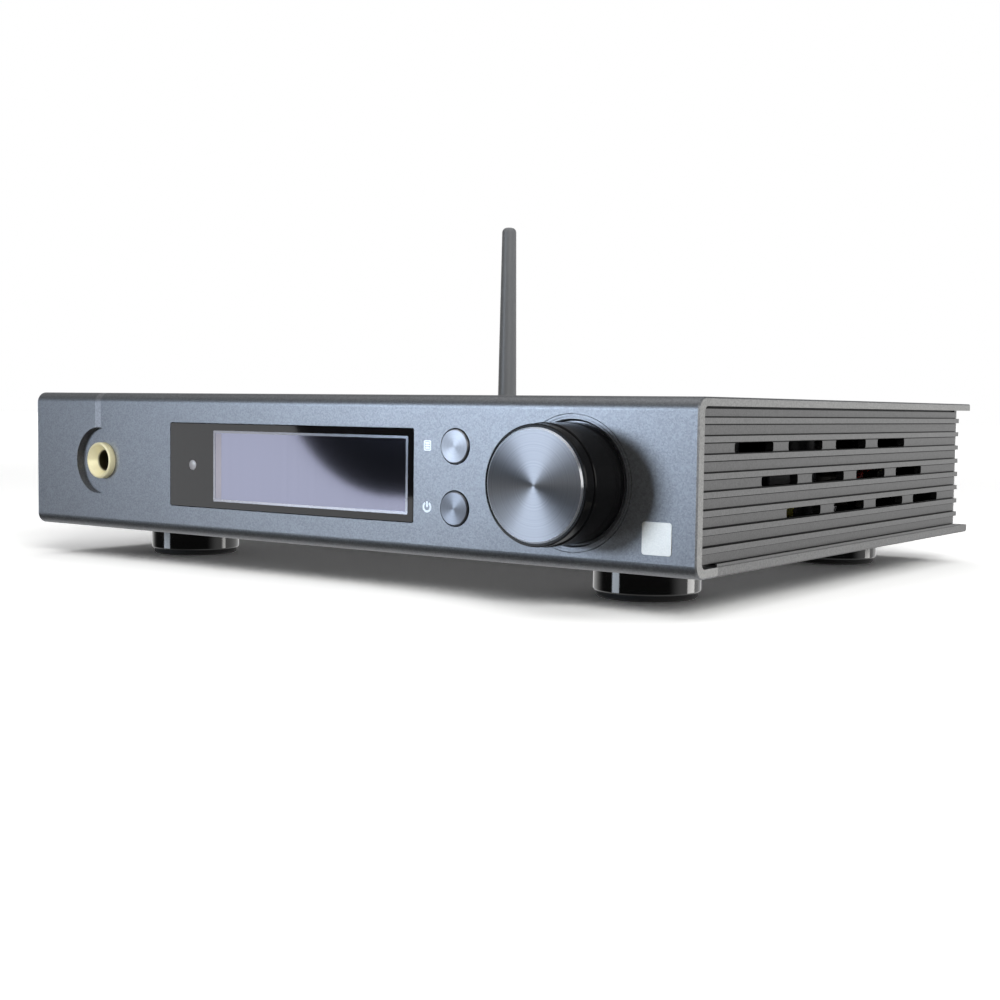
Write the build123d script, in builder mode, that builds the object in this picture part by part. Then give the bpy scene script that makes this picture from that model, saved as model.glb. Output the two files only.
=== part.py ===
"""Integrated amplifier: a low aluminium case on four round feet, with a wrapped cover whose one sheet makes
the front, the top and a lip under the front edge, finned side extrusions, a display window, two push buttons,
a turned volume knob, a headphone socket, rear connectors and a hinged antenna.

Millimetres. +X is right seen from the front, +Y is to the rear, +Z is up. The origin is on the standing
surface, under the centre of the case, which is also the centre of the whole object's box."""

import os
from math import cos, radians, sin

from build123d import *

os.makedirs("parts", exist_ok=True)

# ---------------------------------------------------------------- driving dimensions
CASE_W, CASE_D, CASE_H = 257.0, 200.5, 45.0
FOOT_H = 10.5
FRONT, REAR = -CASE_D / 2, CASE_D / 2
SIDE = CASE_W / 2
BOTTOM, TOP = FOOT_H, FOOT_H + CASE_H
MID = BOTTOM + CASE_H / 2

# wrapped cover and base
FRONT_T, TOP_T, BASE_T = 3.0, 2.3, 2.5
LIP = 11.5
EDGE_R, INNER_R, SIDE_CHAMFER = 3.5, 1.5, 0.4
INNER_FRONT = FRONT + FRONT_T
INNER_TOP, INNER_BOTTOM = TOP - TOP_T, BOTTOM + BASE_T

# finned sides
FIN_TIP, FIN_FLOOR, WEB_IN = SIDE - 0.3, SIDE - 1.6, SIDE - 4.0
FIN_PITCH, FIN_T, FIN_COUNT = 4.6, 1.5, 8
FIRST_FIN_Z = BOTTOM + 39.1
SHADOW_GAP = 0.5
RIM_H = 0.8
SLOT_L, SLOT_H, SLOT_PITCH, ROW_SHIFT = 22.8, 2.7, 32.2, 16.0
FIRST_SLOT_Y = FRONT + 22.3
SLOT_ROWS, SLOTS_PER_ROW = 3, 4
FLANGE_W, FLANGE_T = 9.0, 2.2
FLANGE_X = WEB_IN - FLANGE_W / 2
PORT_X, PORT_R = WEB_IN - 1.9, 2.4
PORT_ZS = (19.7, 46.4)

# rear panel, set in under the overhang of the cover and the base
PANEL_T = 2.0
PANEL_OUT = FRONT + 192.0
PANEL_IN = PANEL_OUT - PANEL_T
PANEL_HALF_W = FIN_FLOOR - 0.3

# M3 fasteners
M3_R, M3_HOLE_R, M3_TAP_R, M3_L = 1.5, 1.7, 1.55, 6.0
PAN_R, PAN_H = 2.8, 2.0
COUNTERSINK_R = 3.0
BASE_SCREW_YS = (-72.0, -24.0, 24.0, 72.0)
LIP_SCREW_Y = FRONT + 6.5
STUD_YS = (-70.0, 0.0, 70.0)
STUD_L = 4.2

# feet
FOOT_X, FOOT_YS = SIDE - 36.4, (FRONT + 39.3, FRONT + 167.8)
FOOT_R, PAD_R, PAD_SHOWN, PAD_SET = 15.1, 14.3, 1.8, 1.0
FOOT_WEB, FOOT_BORE_R = 1.5, 4.5
FOOT_BOSS_R, FOOT_BOSS_H = 4.0, 3.5

# front controls
JACK_X, JACK_RECESS_R, JACK_RECESS_D, JACK_NOSE_R = -96.1, 11.0, 2.2, 6.0
JACK_BORE_R, JACK_CONE_R, JACK_CONE_D, JACK_SLEEVE_L = 3.2, 5.3, 3.1, 14.0
STRIP_W, STRIP_T, STRIP_TOP_L = 3.0, 0.9, 10.0
WINDOW_X, WINDOW_W, WINDOW_H, WINDOW_T = -10.5, 100.0, 26.4, 1.8
WINDOW_LEDGE = 1.6
SCREEN_X, SCREEN_W, SCREEN_H, SCREEN_RIM = -1.6, 78.2, 22.0, 1.3
IR_X = -50.2
BUTTON_X, BUTTON_DZ, BUTTON_R, BUTTON_PROUD, BUTTON_TRAVEL = 54.1, 8.5, 4.7, 0.6, 0.5
KNOB_X, KNOB_R, KNOB_REACH = 92.0, 15.7, 17.3
KNOB_RECESS_R, KNOB_RECESS_D = 18.0, 1.2
SHAFT_R = 3.0

# boards stand this far above the base
STANDOFF_H, BOARD_T = 6.0, 1.6
BOARD_Z = INNER_BOTTOM + STANDOFF_H
BOARD_TOP = BOARD_Z + BOARD_T
FRONT_BOARD_Y = INNER_FRONT + 6.5

# rear connectors
LINE_XS, LINE_Z, LINE_R = (-107.0, -93.0, -69.0, -55.0, -40.0), BOARD_TOP + 6.4, 4.15
OPTICAL_X, USB_X = -23.5, -7.0
POST_XS, POST_Z, POST_R, POST_BORE_R = (9.0, 24.5, 41.0, 56.5), 31.0, 3.0, 2.05
POST_END, POST_CAP_R, POST_CAP_L, POST_CAP_Y = PANEL_OUT + 19.75, 6.5, 17.0, PANEL_OUT + 3.75
INLET_X, INLET_W, INLET_H, INLET_Z = 91.0, 46.0, 26.0, 33.0
SOCKET_X, SWITCH_X = 99.5, 77.0
ROCKER_PIVOT_Y, ROCKER_TILT = PANEL_OUT - 1.0, 10.0

# antenna: the knuckle ends as far behind the case as the knob reaches in front of it
ANTENNA_X, ANTENNA_Z = -81.7, BOTTOM + 33.0
KNUCKLE_R = 4.9
HINGE_Y = REAR + KNOB_REACH - KNUCKLE_R
ANTENNA_TIP_Z = BOTTOM + 121.0

FRONT_PLANE = Plane(origin=(0, FRONT, 0), x_dir=(1, 0, 0), z_dir=(0, -1, 0))
PANEL_PLANE = Plane(origin=(0, PANEL_OUT, 0), x_dir=(-1, 0, 0), z_dir=(0, 1, 0))


def behind_front(depth):
    """The plane parallel to the front face at that depth inside it. Its sketches are drawn in X and Z."""
    return FRONT_PLANE.offset(-depth)


def rearward(y):
    """The plane at y that faces the rear. Its sketches are drawn in -X and Z."""
    return Plane(origin=(0, y, 0), x_dir=(-1, 0, 0), z_dir=(0, 1, 0))


def save(builder, label):
    builder.part.label = label
    export_step(builder.part, f"parts/{label}.step")


def box(x0, x1, y0, y1, z0, z1, mode=Mode.ADD):
    """A box from its limits, inside the current part."""
    with Locations(((x0 + x1) / 2, (y0 + y1) / 2, (z0 + z1) / 2)):
        Box(x1 - x0, y1 - y0, z1 - z0, mode=mode)


# ---------------------------------------------------------------- wrapped cover
def on_outside(edge):
    """Whether an edge of the cover's cut side lies on the front, the top, the underside or a corner between."""
    c = edge.center()
    corner = edge.geom_type == GeomType.CIRCLE and abs(edge.radius - EDGE_R) < 0.01
    return corner or c.Y < FRONT + 0.01 or c.Z > TOP - 0.01 or c.Z < BOTTOM + 0.01


# the bent strip's outline beside the cover's rounded front edge
STRIP_LOW = MID + JACK_RECESS_R - 0.6
with BuildSketch(Plane.YZ.offset(JACK_X)) as strip_outline:
    with BuildLine():
        Polyline(
            (FRONT, STRIP_LOW),
            (FRONT, TOP),
            (FRONT + STRIP_TOP_L, TOP),
            (FRONT + STRIP_TOP_L, TOP - STRIP_T),
            (FRONT + STRIP_T, TOP - STRIP_T),
            (FRONT + STRIP_T, STRIP_LOW),
            close=True,
        )
    make_face()
    fillet(vertices().sort_by(lambda v: v.X - v.Y)[0], EDGE_R)
    inner = vertices().filter_by(lambda v: abs(v.X - FRONT - STRIP_T) < 0.01)
    fillet(inner.sort_by(Axis.Y)[-1], EDGE_R - STRIP_T)

with BuildPart() as wrap_cover:
    with BuildSketch(Plane.YZ):
        with BuildLine():
            Polyline(
                (FRONT + LIP, BOTTOM),
                (FRONT, BOTTOM),
                (FRONT, TOP),
                (REAR, TOP),
                (REAR, INNER_TOP),
                (INNER_FRONT, INNER_TOP),
                (INNER_FRONT, INNER_BOTTOM),
                (FRONT + LIP, INNER_BOTTOM),
                close=True,
            )
        make_face()
        fillet(vertices().filter_by(lambda v: v.X < FRONT + 0.01), EDGE_R)
        fillet(vertices().filter_by(lambda v: abs(v.X - INNER_FRONT) < 0.01), INNER_R)
    extrude(amount=SIDE, both=True)
    chamfer(edges().filter_by(Axis.X).sort_by(Axis.Z)[:2].sort_by(Axis.Y)[-1:], 0.4)
    # broken edge round the outside of each cut side
    side_edges = edges().filter_by(lambda e: abs(abs(e.center().X) - SIDE) < 0.01)
    chamfer(side_edges.filter_by(on_outside), SIDE_CHAMFER)
    # headphone recess
    with BuildSketch(FRONT_PLANE):
        with Locations((JACK_X, MID)):
            Circle(JACK_RECESS_R)
    extrude(amount=-JACK_RECESS_D, mode=Mode.SUBTRACT)
    # slot for the accent strip, open into the recess
    extrude(strip_outline.sketch, amount=STRIP_W / 2 + 0.02, both=True, mode=Mode.SUBTRACT)
    # pocket for the window glass, and the opening behind it
    with BuildSketch(FRONT_PLANE):
        with Locations((WINDOW_X, MID)):
            RectangleRounded(WINDOW_W + 0.2, WINDOW_H + 0.2, 0.7)
    extrude(amount=-(WINDOW_T + 0.1), mode=Mode.SUBTRACT)
    with BuildSketch(FRONT_PLANE):
        with Locations((WINDOW_X, MID)):
            Rectangle(WINDOW_W - 2 * WINDOW_LEDGE, WINDOW_H - 2 * WINDOW_LEDGE)
    extrude(amount=-FRONT_T, mode=Mode.SUBTRACT)
    # knob recess
    with BuildSketch(FRONT_PLANE):
        with Locations((KNOB_X, MID)):
            Circle(KNOB_RECESS_R)
    extrude(amount=-KNOB_RECESS_D, mode=Mode.SUBTRACT)
    # holes through the front for the sleeve, the encoder bush and the buttons
    with BuildSketch(FRONT_PLANE):
        with Locations((JACK_X, MID)):
            Circle(JACK_NOSE_R + 0.1)
        with Locations((KNOB_X, MID)):
            Circle(3.6)
        with Locations((BUTTON_X, MID + BUTTON_DZ), (BUTTON_X, MID - BUTTON_DZ)):
            Circle(BUTTON_R + 0.35)
    extrude(amount=-FRONT_T, mode=Mode.SUBTRACT)
    # countersunk holes through the lip into the side extrusions
    with Locations(Plane.XY.offset(BOTTOM) * Rotation(X=180)):
        with Locations((FLANGE_X, -LIP_SCREW_Y), (-FLANGE_X, -LIP_SCREW_Y)):
            CounterSinkHole(M3_HOLE_R, COUNTERSINK_R + 0.2, depth=BASE_T)
save(wrap_cover, "wrap_cover")

with BuildPart() as accent_strip:
    extrude(strip_outline.sketch, amount=STRIP_W / 2, both=True)
    with BuildSketch(FRONT_PLANE):
        with Locations((JACK_X, MID)):
            Circle(JACK_RECESS_R + 0.02)
    extrude(amount=-JACK_RECESS_D, mode=Mode.SUBTRACT)
save(accent_strip, "accent_strip")


# ---------------------------------------------------------------- finned side extrusions
def side_panel(sign):
    """One finned side, at +X for sign 1 and at -X for sign -1."""
    front, rear = INNER_FRONT, PANEL_IN
    length, centre_y = rear - front, (front + rear) / 2
    low, high = INNER_BOTTOM, INNER_TOP

    def across(x0, x1, z0, z1, y0=front, y1=rear, mode=Mode.ADD):
        a, b = sorted((sign * x0, sign * x1))
        box(a, b, y0, y1, z0, z1, mode)

    with BuildPart() as panel:
        across(WEB_IN, FIN_FLOOR, low, high)
        fillet(edges().filter_by(Axis.X).group_by(Axis.Y)[0], INNER_R + 0.2)
        # rim that closes the side under the fins, cut back over the cover's lip
        across(FIN_FLOOR - 0.1, FIN_TIP, low, low + RIM_H, y0=FRONT + LIP)
        for i in range(FIN_COUNT):
            z = FIRST_FIN_Z - i * FIN_PITCH
            across(FIN_FLOOR - 0.1, FIN_TIP, z - FIN_T / 2, z + FIN_T / 2)
        # shadow gap under the top, and the dark slit over the lip
        across(FIN_FLOOR - 1.0, FIN_TIP, high - SHADOW_GAP, high, mode=Mode.SUBTRACT)
        across(FIN_FLOOR - 1.0, FIN_TIP, low, low + RIM_H, y1=FRONT + LIP, mode=Mode.SUBTRACT)
        # flanges that the cover and the base are fixed to
        across(WEB_IN - FLANGE_W, WEB_IN + 0.1, high - FLANGE_T, high, y0=front + INNER_R + 0.2)
        across(WEB_IN - FLANGE_W, WEB_IN + 0.1, low, low + FLANGE_T, y0=front + INNER_R + 0.2)
        # screw ports for the rear panel
        with BuildSketch(rearward(rear)):
            with Locations(*((-sign * PORT_X, z) for z in PORT_ZS)):
                Circle(PORT_R)
        extrude(amount=-length)
        with BuildSketch(rearward(rear)):
            with Locations(*((-sign * PORT_X, z) for z in PORT_ZS)):
                Circle(M3_TAP_R)
        extrude(amount=-12.0, mode=Mode.SUBTRACT)
        # ventilation slots in every other channel, each row a half pitch further back
        with BuildSketch(Plane.YZ.offset(sign * (WEB_IN - 1.0))):
            for row in range(SLOT_ROWS):
                z = FIRST_FIN_Z - FIN_PITCH * (1.5 + 2 * row)
                for k in range(SLOTS_PER_ROW):
                    y = FIRST_SLOT_Y + ROW_SHIFT * row + SLOT_PITCH * k + SLOT_L / 2
                    with Locations((y, z)):
                        RectangleRounded(SLOT_L, SLOT_H, 0.8)
        extrude(amount=sign * 6.0, mode=Mode.SUBTRACT)
        # holes for the cover's studs and for the base screws
        with BuildSketch(Plane.XY.offset(high)):
            with Locations(*((sign * FLANGE_X, y) for y in STUD_YS)):
                Circle(M3_HOLE_R)
        extrude(amount=-FLANGE_T, mode=Mode.SUBTRACT)
        with BuildSketch(Plane.XY.offset(low)):
            with Locations(*((sign * FLANGE_X, y) for y in (LIP_SCREW_Y, *BASE_SCREW_YS))):
                Circle(M3_TAP_R)
        extrude(amount=FLANGE_T, mode=Mode.SUBTRACT)
    return panel


save(side_panel(-1), "left_side_panel")
save(side_panel(1), "right_side_panel")

# ---------------------------------------------------------------- base plate
BOARD_HOLES = {
    "power_supply": ((32.0, -58.0), (108.0, -58.0), (32.0, 54.0), (108.0, 26.0)),
    "amplifier": ((-58.0, -62.0), (16.0, -62.0), (-58.0, 10.0), (16.0, 10.0)),
    "main": ((-109.0, 26.0), (10.0, 26.0), (-109.0, 52.0), (10.0, 52.0)),
}
FOOT_SPOTS = [(x, y) for x in (-FOOT_X, FOOT_X) for y in FOOT_YS]
BASE_SCREW_SPOTS = [(x, y) for x in (-FLANGE_X, FLANGE_X) for y in BASE_SCREW_YS]

with BuildPart() as base_plate:
    with BuildSketch(Plane.XY.offset(BOTTOM)):
        with Locations((0, (FRONT + LIP + REAR) / 2)):
            Rectangle(CASE_W, REAR - FRONT - LIP)
    extrude(amount=BASE_T)
    chamfer(edges().filter_by(Axis.X).sort_by(Axis.Y)[:2].sort_by(Axis.Z)[:1], 0.4)
    chamfer(edges().filter_by(Axis.Y).group_by(Axis.Z)[0], SIDE_CHAMFER)
    with BuildSketch(Plane.XY.offset(INNER_BOTTOM)):
        with Locations(*FOOT_SPOTS):
            Circle(FOOT_BOSS_R)
    extrude(amount=FOOT_BOSS_H)
    with BuildSketch(Plane.XY.offset(BOTTOM)):
        with Locations(*FOOT_SPOTS):
            Circle(M3_TAP_R)
    extrude(amount=BASE_T + FOOT_BOSS_H, mode=Mode.SUBTRACT)
    with Locations(Plane.XY.offset(BOTTOM) * Rotation(X=180)):
        with Locations(*((x, -y) for x, y in BASE_SCREW_SPOTS)):
            CounterSinkHole(M3_HOLE_R, COUNTERSINK_R + 0.2, depth=BASE_T)
    # ventilation slots under the boards
    with BuildSketch(Plane.XY.offset(BOTTOM)):
        with Locations((0, 5)):
            with GridLocations(26.0, 9.0, 6, 5):
                SlotOverall(20.0, 3.0)
    extrude(amount=BASE_T, mode=Mode.SUBTRACT)
save(base_plate, "base_plate")

# ---------------------------------------------------------------- feet
with BuildPart() as foot_shells:
    with BuildSketch(Plane.XY.offset(PAD_SHOWN)):
        with Locations(*FOOT_SPOTS):
            Circle(FOOT_R)
    extrude(amount=FOOT_H - PAD_SHOWN)
    chamfer(edges().filter_by(GeomType.CIRCLE).group_by(Axis.Z)[0], 0.4)
    with BuildSketch(Plane.XY.offset(PAD_SHOWN)):
        with Locations(*FOOT_SPOTS):
            Circle(PAD_R)
    extrude(amount=PAD_SET, mode=Mode.SUBTRACT)
    with BuildSketch(Plane.XY.offset(PAD_SHOWN)):
        with Locations(*FOOT_SPOTS):
            Circle(FOOT_BORE_R)
    extrude(amount=FOOT_H - PAD_SHOWN - FOOT_WEB, mode=Mode.SUBTRACT)
    with BuildSketch(Plane.XY.offset(FOOT_H - FOOT_WEB)):
        with Locations(*FOOT_SPOTS):
            Circle(M3_HOLE_R)
    extrude(amount=FOOT_WEB, mode=Mode.SUBTRACT)
save(foot_shells, "foot_shells")

with BuildPart() as foot_pads:
    with BuildSketch():
        with Locations(*FOOT_SPOTS):
            Circle(PAD_R - 0.05)
            Circle(FOOT_BORE_R + 0.5, mode=Mode.SUBTRACT)
    extrude(amount=PAD_SHOWN + PAD_SET)
    chamfer(edges().filter_by(GeomType.CIRCLE).group_by(Axis.Z)[0].sort_by(SortBy.RADIUS)[-4:], 0.5)
save(foot_pads, "foot_pads")


# ---------------------------------------------------------------- rear panel
def socket_outlines():
    """The holes that the connectors need, drawn in -X and Z."""
    with Locations(*((-x, LINE_Z) for x in LINE_XS)):
        Circle(LINE_R + 0.1)
    with Locations((-OPTICAL_X, BOARD_TOP + 5.2)):
        Rectangle(10.0, 10.4)
    with Locations((-USB_X, BOARD_TOP + 5.6)):
        Rectangle(12.3, 11.2)
    with Locations(*((-x, POST_Z) for x in POST_XS)):
        Circle(4.1)
    with Locations((-INLET_X, INLET_Z)):
        Rectangle(INLET_W - 2.8, INLET_H - 3.8)
    with Locations((-ANTENNA_X, ANTENNA_Z)):
        Circle(3.3)
    with Locations(*((sign * PORT_X, z) for sign in (-1, 1) for z in PORT_ZS)):
        Circle(M3_HOLE_R)


with BuildPart() as rear_panel:
    box(-PANEL_HALF_W, PANEL_HALF_W, PANEL_IN, PANEL_OUT, INNER_BOTTOM, INNER_TOP)
    with BuildSketch(PANEL_PLANE):
        socket_outlines()
    extrude(amount=-PANEL_T, mode=Mode.SUBTRACT)
save(rear_panel, "rear_panel")


# ---------------------------------------------------------------- fasteners
def pan_head_screw(origin, into):
    """One M3 pan-head screw whose head bears on origin and whose shank points along into."""
    seat = Plane(origin=origin, z_dir=into)
    with Locations(seat):
        Cylinder(PAN_R, PAN_H, align=(Align.CENTER, Align.CENTER, Align.MAX))
    rim = edges(Select.LAST).filter_by(GeomType.CIRCLE)
    fillet(rim.sort_by(lambda e: (e.arc_center - Vector(*origin)).length)[-1:], 0.8)
    with Locations(seat):
        Cylinder(M3_R, M3_L, align=(Align.CENTER, Align.CENTER, Align.MIN))
    with Locations(seat.offset(-PAN_H)):
        Box(3.2, 0.7, 2.2, mode=Mode.SUBTRACT)
        Box(0.7, 3.2, 2.2, mode=Mode.SUBTRACT)


with BuildPart() as pan_head_screws:
    for spots in BOARD_HOLES.values():
        for x, y in spots:
            pan_head_screw((x, y, BOARD_TOP), (0, 0, -1))
    for x, y in FOOT_SPOTS:
        pan_head_screw((x, y, FOOT_H - FOOT_WEB), (0, 0, 1))
    for sign in (-1, 1):
        for z in PORT_ZS:
            pan_head_screw((sign * PORT_X, PANEL_OUT, z), (0, -1, 0))
save(pan_head_screws, "pan_head_screws")

with BuildPart() as base_screws:
    for x, y in [*BASE_SCREW_SPOTS, (-FLANGE_X, LIP_SCREW_Y), (FLANGE_X, LIP_SCREW_Y)]:
        with BuildSketch(Plane.XZ.offset(-y)):
            with BuildLine():
                Polyline(
                    (x, BOTTOM),
                    (x + COUNTERSINK_R, BOTTOM),
                    (x + M3_R, BOTTOM + COUNTERSINK_R - M3_R),
                    (x + M3_R, BOTTOM + M3_L),
                    (x, BOTTOM + M3_L),
                    close=True,
                )
            make_face()
        revolve(axis=Axis((x, y, 0), (0, 0, 1)))
        with BuildSketch(Plane.XY.offset(BOTTOM)):
            with Locations((x, y)):
                RegularPolygon(1.1, 6)
        extrude(amount=1.0, mode=Mode.SUBTRACT)
save(base_screws, "base_screws")

with BuildPart() as cover_studs:
    stud_spots = [(x, y) for x in (-FLANGE_X, FLANGE_X) for y in STUD_YS]
    with BuildSketch(Plane.XY.offset(INNER_TOP)):
        with Locations(*stud_spots):
            Circle(M3_R)
    extrude(amount=-STUD_L)
    # a nut under the flange on each stud, a hair wider than its thread
    with BuildSketch(Plane.XY.offset(INNER_TOP - FLANGE_T)):
        with Locations(*stud_spots):
            RegularPolygon(3.1, 6)
            Circle(M3_TAP_R, mode=Mode.SUBTRACT)
    extrude(amount=-2.0)
save(cover_studs, "cover_studs")

with BuildPart() as standoffs:
    spots = [spot for group in BOARD_HOLES.values() for spot in group]
    with BuildSketch(Plane.XY.offset(INNER_BOTTOM)):
        with Locations(*spots):
            RegularPolygon(3.2, 6)
            Circle(M3_TAP_R, mode=Mode.SUBTRACT)
    extrude(amount=STANDOFF_H)
save(standoffs, "standoffs")

# ---------------------------------------------------------------- display
with BuildPart() as display_window:
    with BuildSketch(FRONT_PLANE):
        with Locations((WINDOW_X, MID)):
            RectangleRounded(WINDOW_W, WINDOW_H, 0.6)
    extrude(amount=-WINDOW_T)
    chamfer(faces().sort_by(Axis.Y)[0].edges(), 0.15)
save(display_window, "display_window")

with BuildPart() as display_frame:
    with BuildSketch(behind_front(WINDOW_T + 0.15)):
        with Locations((SCREEN_X, MID)):
            RectangleRounded(SCREEN_W, SCREEN_H, 0.5)
            Rectangle(SCREEN_W - 2 * SCREEN_RIM, SCREEN_H - 2 * SCREEN_RIM, mode=Mode.SUBTRACT)
    extrude(amount=-(FRONT_T - WINDOW_T - 0.15))
save(display_frame, "display_frame")

with BuildPart() as display_module:
    y = INNER_FRONT
    box(SCREEN_X - 42, SCREEN_X + 42, y, y + 2.0, MID - 13, MID + 13)
    box(SCREEN_X - 44, SCREEN_X + 44, y + 2.0, y + 3.6, MID - 14, MID + 14)
    for sign in (-1, 1):
        box(SCREEN_X + sign * 38 - 2, SCREEN_X + sign * 38 + 2, y + 3.6, FRONT_BOARD_Y, MID - 2, MID + 2)
save(display_module, "display_module")

with BuildPart() as ir_receiver:
    box(IR_X - 2.8, IR_X + 2.8, INNER_FRONT + 1.6, FRONT_BOARD_Y, MID - 3.2, MID + 3.2)
    with BuildSketch(behind_front(FRONT_T + 1.6)):
        with Locations((IR_X, MID)):
            Circle(2.2)
    extrude(amount=1.4)
    fillet(edges().filter_by(GeomType.CIRCLE).sort_by(Axis.Y)[0], 1.2)
save(ir_receiver, "ir_receiver")

# ---------------------------------------------------------------- headphone socket
with BuildPart() as headphone_bushing:
    # the nose stands in the recess level with the front face; its mouth funnels into the plug's bore
    with BuildSketch(Plane.XY.offset(MID)):
        with BuildLine():
            Polyline(
                (JACK_X + JACK_CONE_R, FRONT),
                (JACK_X + JACK_NOSE_R, FRONT),
                (JACK_X + JACK_NOSE_R, FRONT + JACK_SLEEVE_L),
                (JACK_X + JACK_BORE_R, FRONT + JACK_SLEEVE_L),
                (JACK_X + JACK_BORE_R, FRONT + JACK_CONE_D),
                close=True,
            )
        make_face()
        fillet(vertices().filter_by(lambda v: v.Y < FRONT + 0.01 and v.X > JACK_X + 5.9), 0.5)
    revolve(axis=Axis((JACK_X, 0, MID), (0, 1, 0)))
save(headphone_bushing, "headphone_bushing")

with BuildPart() as headphone_jack:
    end = INNER_FRONT + 27.0
    box(JACK_X - 8.5, JACK_X + 8.5, INNER_FRONT, end, MID - 8.5, MID + 8.5)
    fillet(edges().filter_by(Axis.Y), 1.0)
    with BuildSketch(behind_front(FRONT_T)):
        with Locations((JACK_X, MID)):
            Circle(JACK_NOSE_R + 0.05)
    extrude(amount=-(JACK_SLEEVE_L - FRONT_T), mode=Mode.SUBTRACT)
    with BuildSketch(behind_front(JACK_SLEEVE_L)):
        with Locations((JACK_X, MID)):
            Circle(JACK_BORE_R + 0.2)
    extrude(amount=-14.0, mode=Mode.SUBTRACT)
    for dx in (-6.0, -2.0, 2.0, 6.0):
        box(JACK_X + dx - 0.6, JACK_X + dx + 0.6, end - 0.01, end + 3.0, MID - 5.0, MID - 4.4)
save(headphone_jack, "headphone_jack")

# ---------------------------------------------------------------- front board, encoder and switches
with BuildPart() as front_board:
    box(-72, 110, FRONT_BOARD_Y, FRONT_BOARD_Y + BOARD_T, INNER_BOTTOM + 1.5, INNER_TOP - 2.0)
save(front_board, "front_board")

with BuildPart() as front_bracket:
    y = FRONT_BOARD_Y + BOARD_T
    box(-50, 50, y, y + 1.2, INNER_BOTTOM, MID + 14)
    box(-50, 50, y, y + 11.0, INNER_BOTTOM, INNER_BOTTOM + 1.2)
    fillet(edges().filter_by(Axis.Z).sort_by(Axis.Y)[-2:], 2.0)
    with Locations((0, y + 0.6, MID + 2)):
        Box(60, 4, 14, mode=Mode.SUBTRACT)
save(front_bracket, "front_bracket")

with BuildPart() as encoder_body:
    box(KNOB_X - 6.6, KNOB_X + 6.6, INNER_FRONT, FRONT_BOARD_Y, MID - 6.2, MID + 6.2)
    with BuildSketch(behind_front(FRONT_T)):
        with Locations((KNOB_X, MID)):
            Circle(3.5)
    extrude(amount=7.0)
    with BuildSketch(behind_front(FRONT_T)):
        with Locations((KNOB_X, MID)):
            Circle(SHAFT_R + 0.05)
    extrude(amount=7.0, mode=Mode.SUBTRACT)
    with BuildSketch(behind_front(FRONT_T)):
        with Locations((KNOB_X, MID)):
            Circle(SHAFT_R + 0.05)
    extrude(amount=-5.5, mode=Mode.SUBTRACT)
save(encoder_body, "encoder_body")

with BuildPart() as encoder_nut:
    with BuildSketch(behind_front(KNOB_RECESS_D)):
        with Locations((KNOB_X, MID)):
            RegularPolygon(5.6, 6)
            Circle(3.55, mode=Mode.SUBTRACT)
    extrude(amount=2.0)
save(encoder_nut, "encoder_nut")

with BuildPart() as encoder_shaft:
    with BuildSketch(behind_front(FRONT_T + 5.2)):
        with Locations((KNOB_X, MID)):
            Circle(SHAFT_R)
    extrude(amount=FRONT_T + 5.2 + 14.0)
    # flat for the set screw
    box(
        KNOB_X - 4, KNOB_X + 4, FRONT - 14.1, FRONT - 5.0,
        MID - 4, MID - SHAFT_R + 0.7, mode=Mode.SUBTRACT,
    )
save(encoder_shaft, "encoder_shaft")

SWITCH_FACE, PLUNGER_R = FRONT_BOARD_Y - 3.5, 1.7
BUTTON_ZS = {"mode_button": MID + BUTTON_DZ, "power_button": MID - BUTTON_DZ}

with BuildPart() as tact_switches:
    for z in BUTTON_ZS.values():
        box(BUTTON_X - 3, BUTTON_X + 3, SWITCH_FACE, FRONT_BOARD_Y, z - 3, z + 3)
        with BuildSketch(behind_front(SWITCH_FACE - FRONT)):
            with Locations((BUTTON_X, z)):
                Circle(PLUNGER_R + 0.1)
        extrude(amount=-(1.6 + BUTTON_TRAVEL + 0.3), mode=Mode.SUBTRACT)
save(tact_switches, "tact_switches")


def push_button(z):
    """A turned button held behind the front by its flange, with a stem that runs into its switch."""
    stem_end = INNER_FRONT + 1.9
    with BuildPart() as button:
        with BuildSketch(Plane.XY.offset(z)):
            with BuildLine():
                Polyline(
                    (BUTTON_X, FRONT - BUTTON_PROUD),
                    (BUTTON_X + BUTTON_R - 0.3, FRONT - BUTTON_PROUD),
                    (BUTTON_X + BUTTON_R, FRONT - BUTTON_PROUD + 0.3),
                    (BUTTON_X + BUTTON_R, INNER_FRONT + 0.1),
                    (BUTTON_X + BUTTON_R + 1.0, INNER_FRONT + 0.1),
                    (BUTTON_X + BUTTON_R + 1.0, INNER_FRONT + 0.9),
                    (BUTTON_X + 1.5, INNER_FRONT + 0.9),
                    (BUTTON_X + 1.5, stem_end),
                    (BUTTON_X, stem_end),
                    close=True,
                )
            make_face()
        revolve(axis=Axis((BUTTON_X, 0, z), (0, 1, 0)))
        with BuildSketch(behind_front(stem_end - FRONT)):
            with Locations((BUTTON_X, z)):
                Circle(PLUNGER_R)
        extrude(amount=-(SWITCH_FACE - stem_end + 1.6))
    return button


for button_name, button_z in BUTTON_ZS.items():
    save(push_button(button_z), button_name)

# ---------------------------------------------------------------- volume knob
KNOB_FRONT = FRONT - KNOB_REACH
HEAD_R, HEAD_L = KNOB_R - 0.3, 3.4
CAP_R, CAP_SEAT, CAP_PROUD = 14.5, 1.2, 0.4

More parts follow.
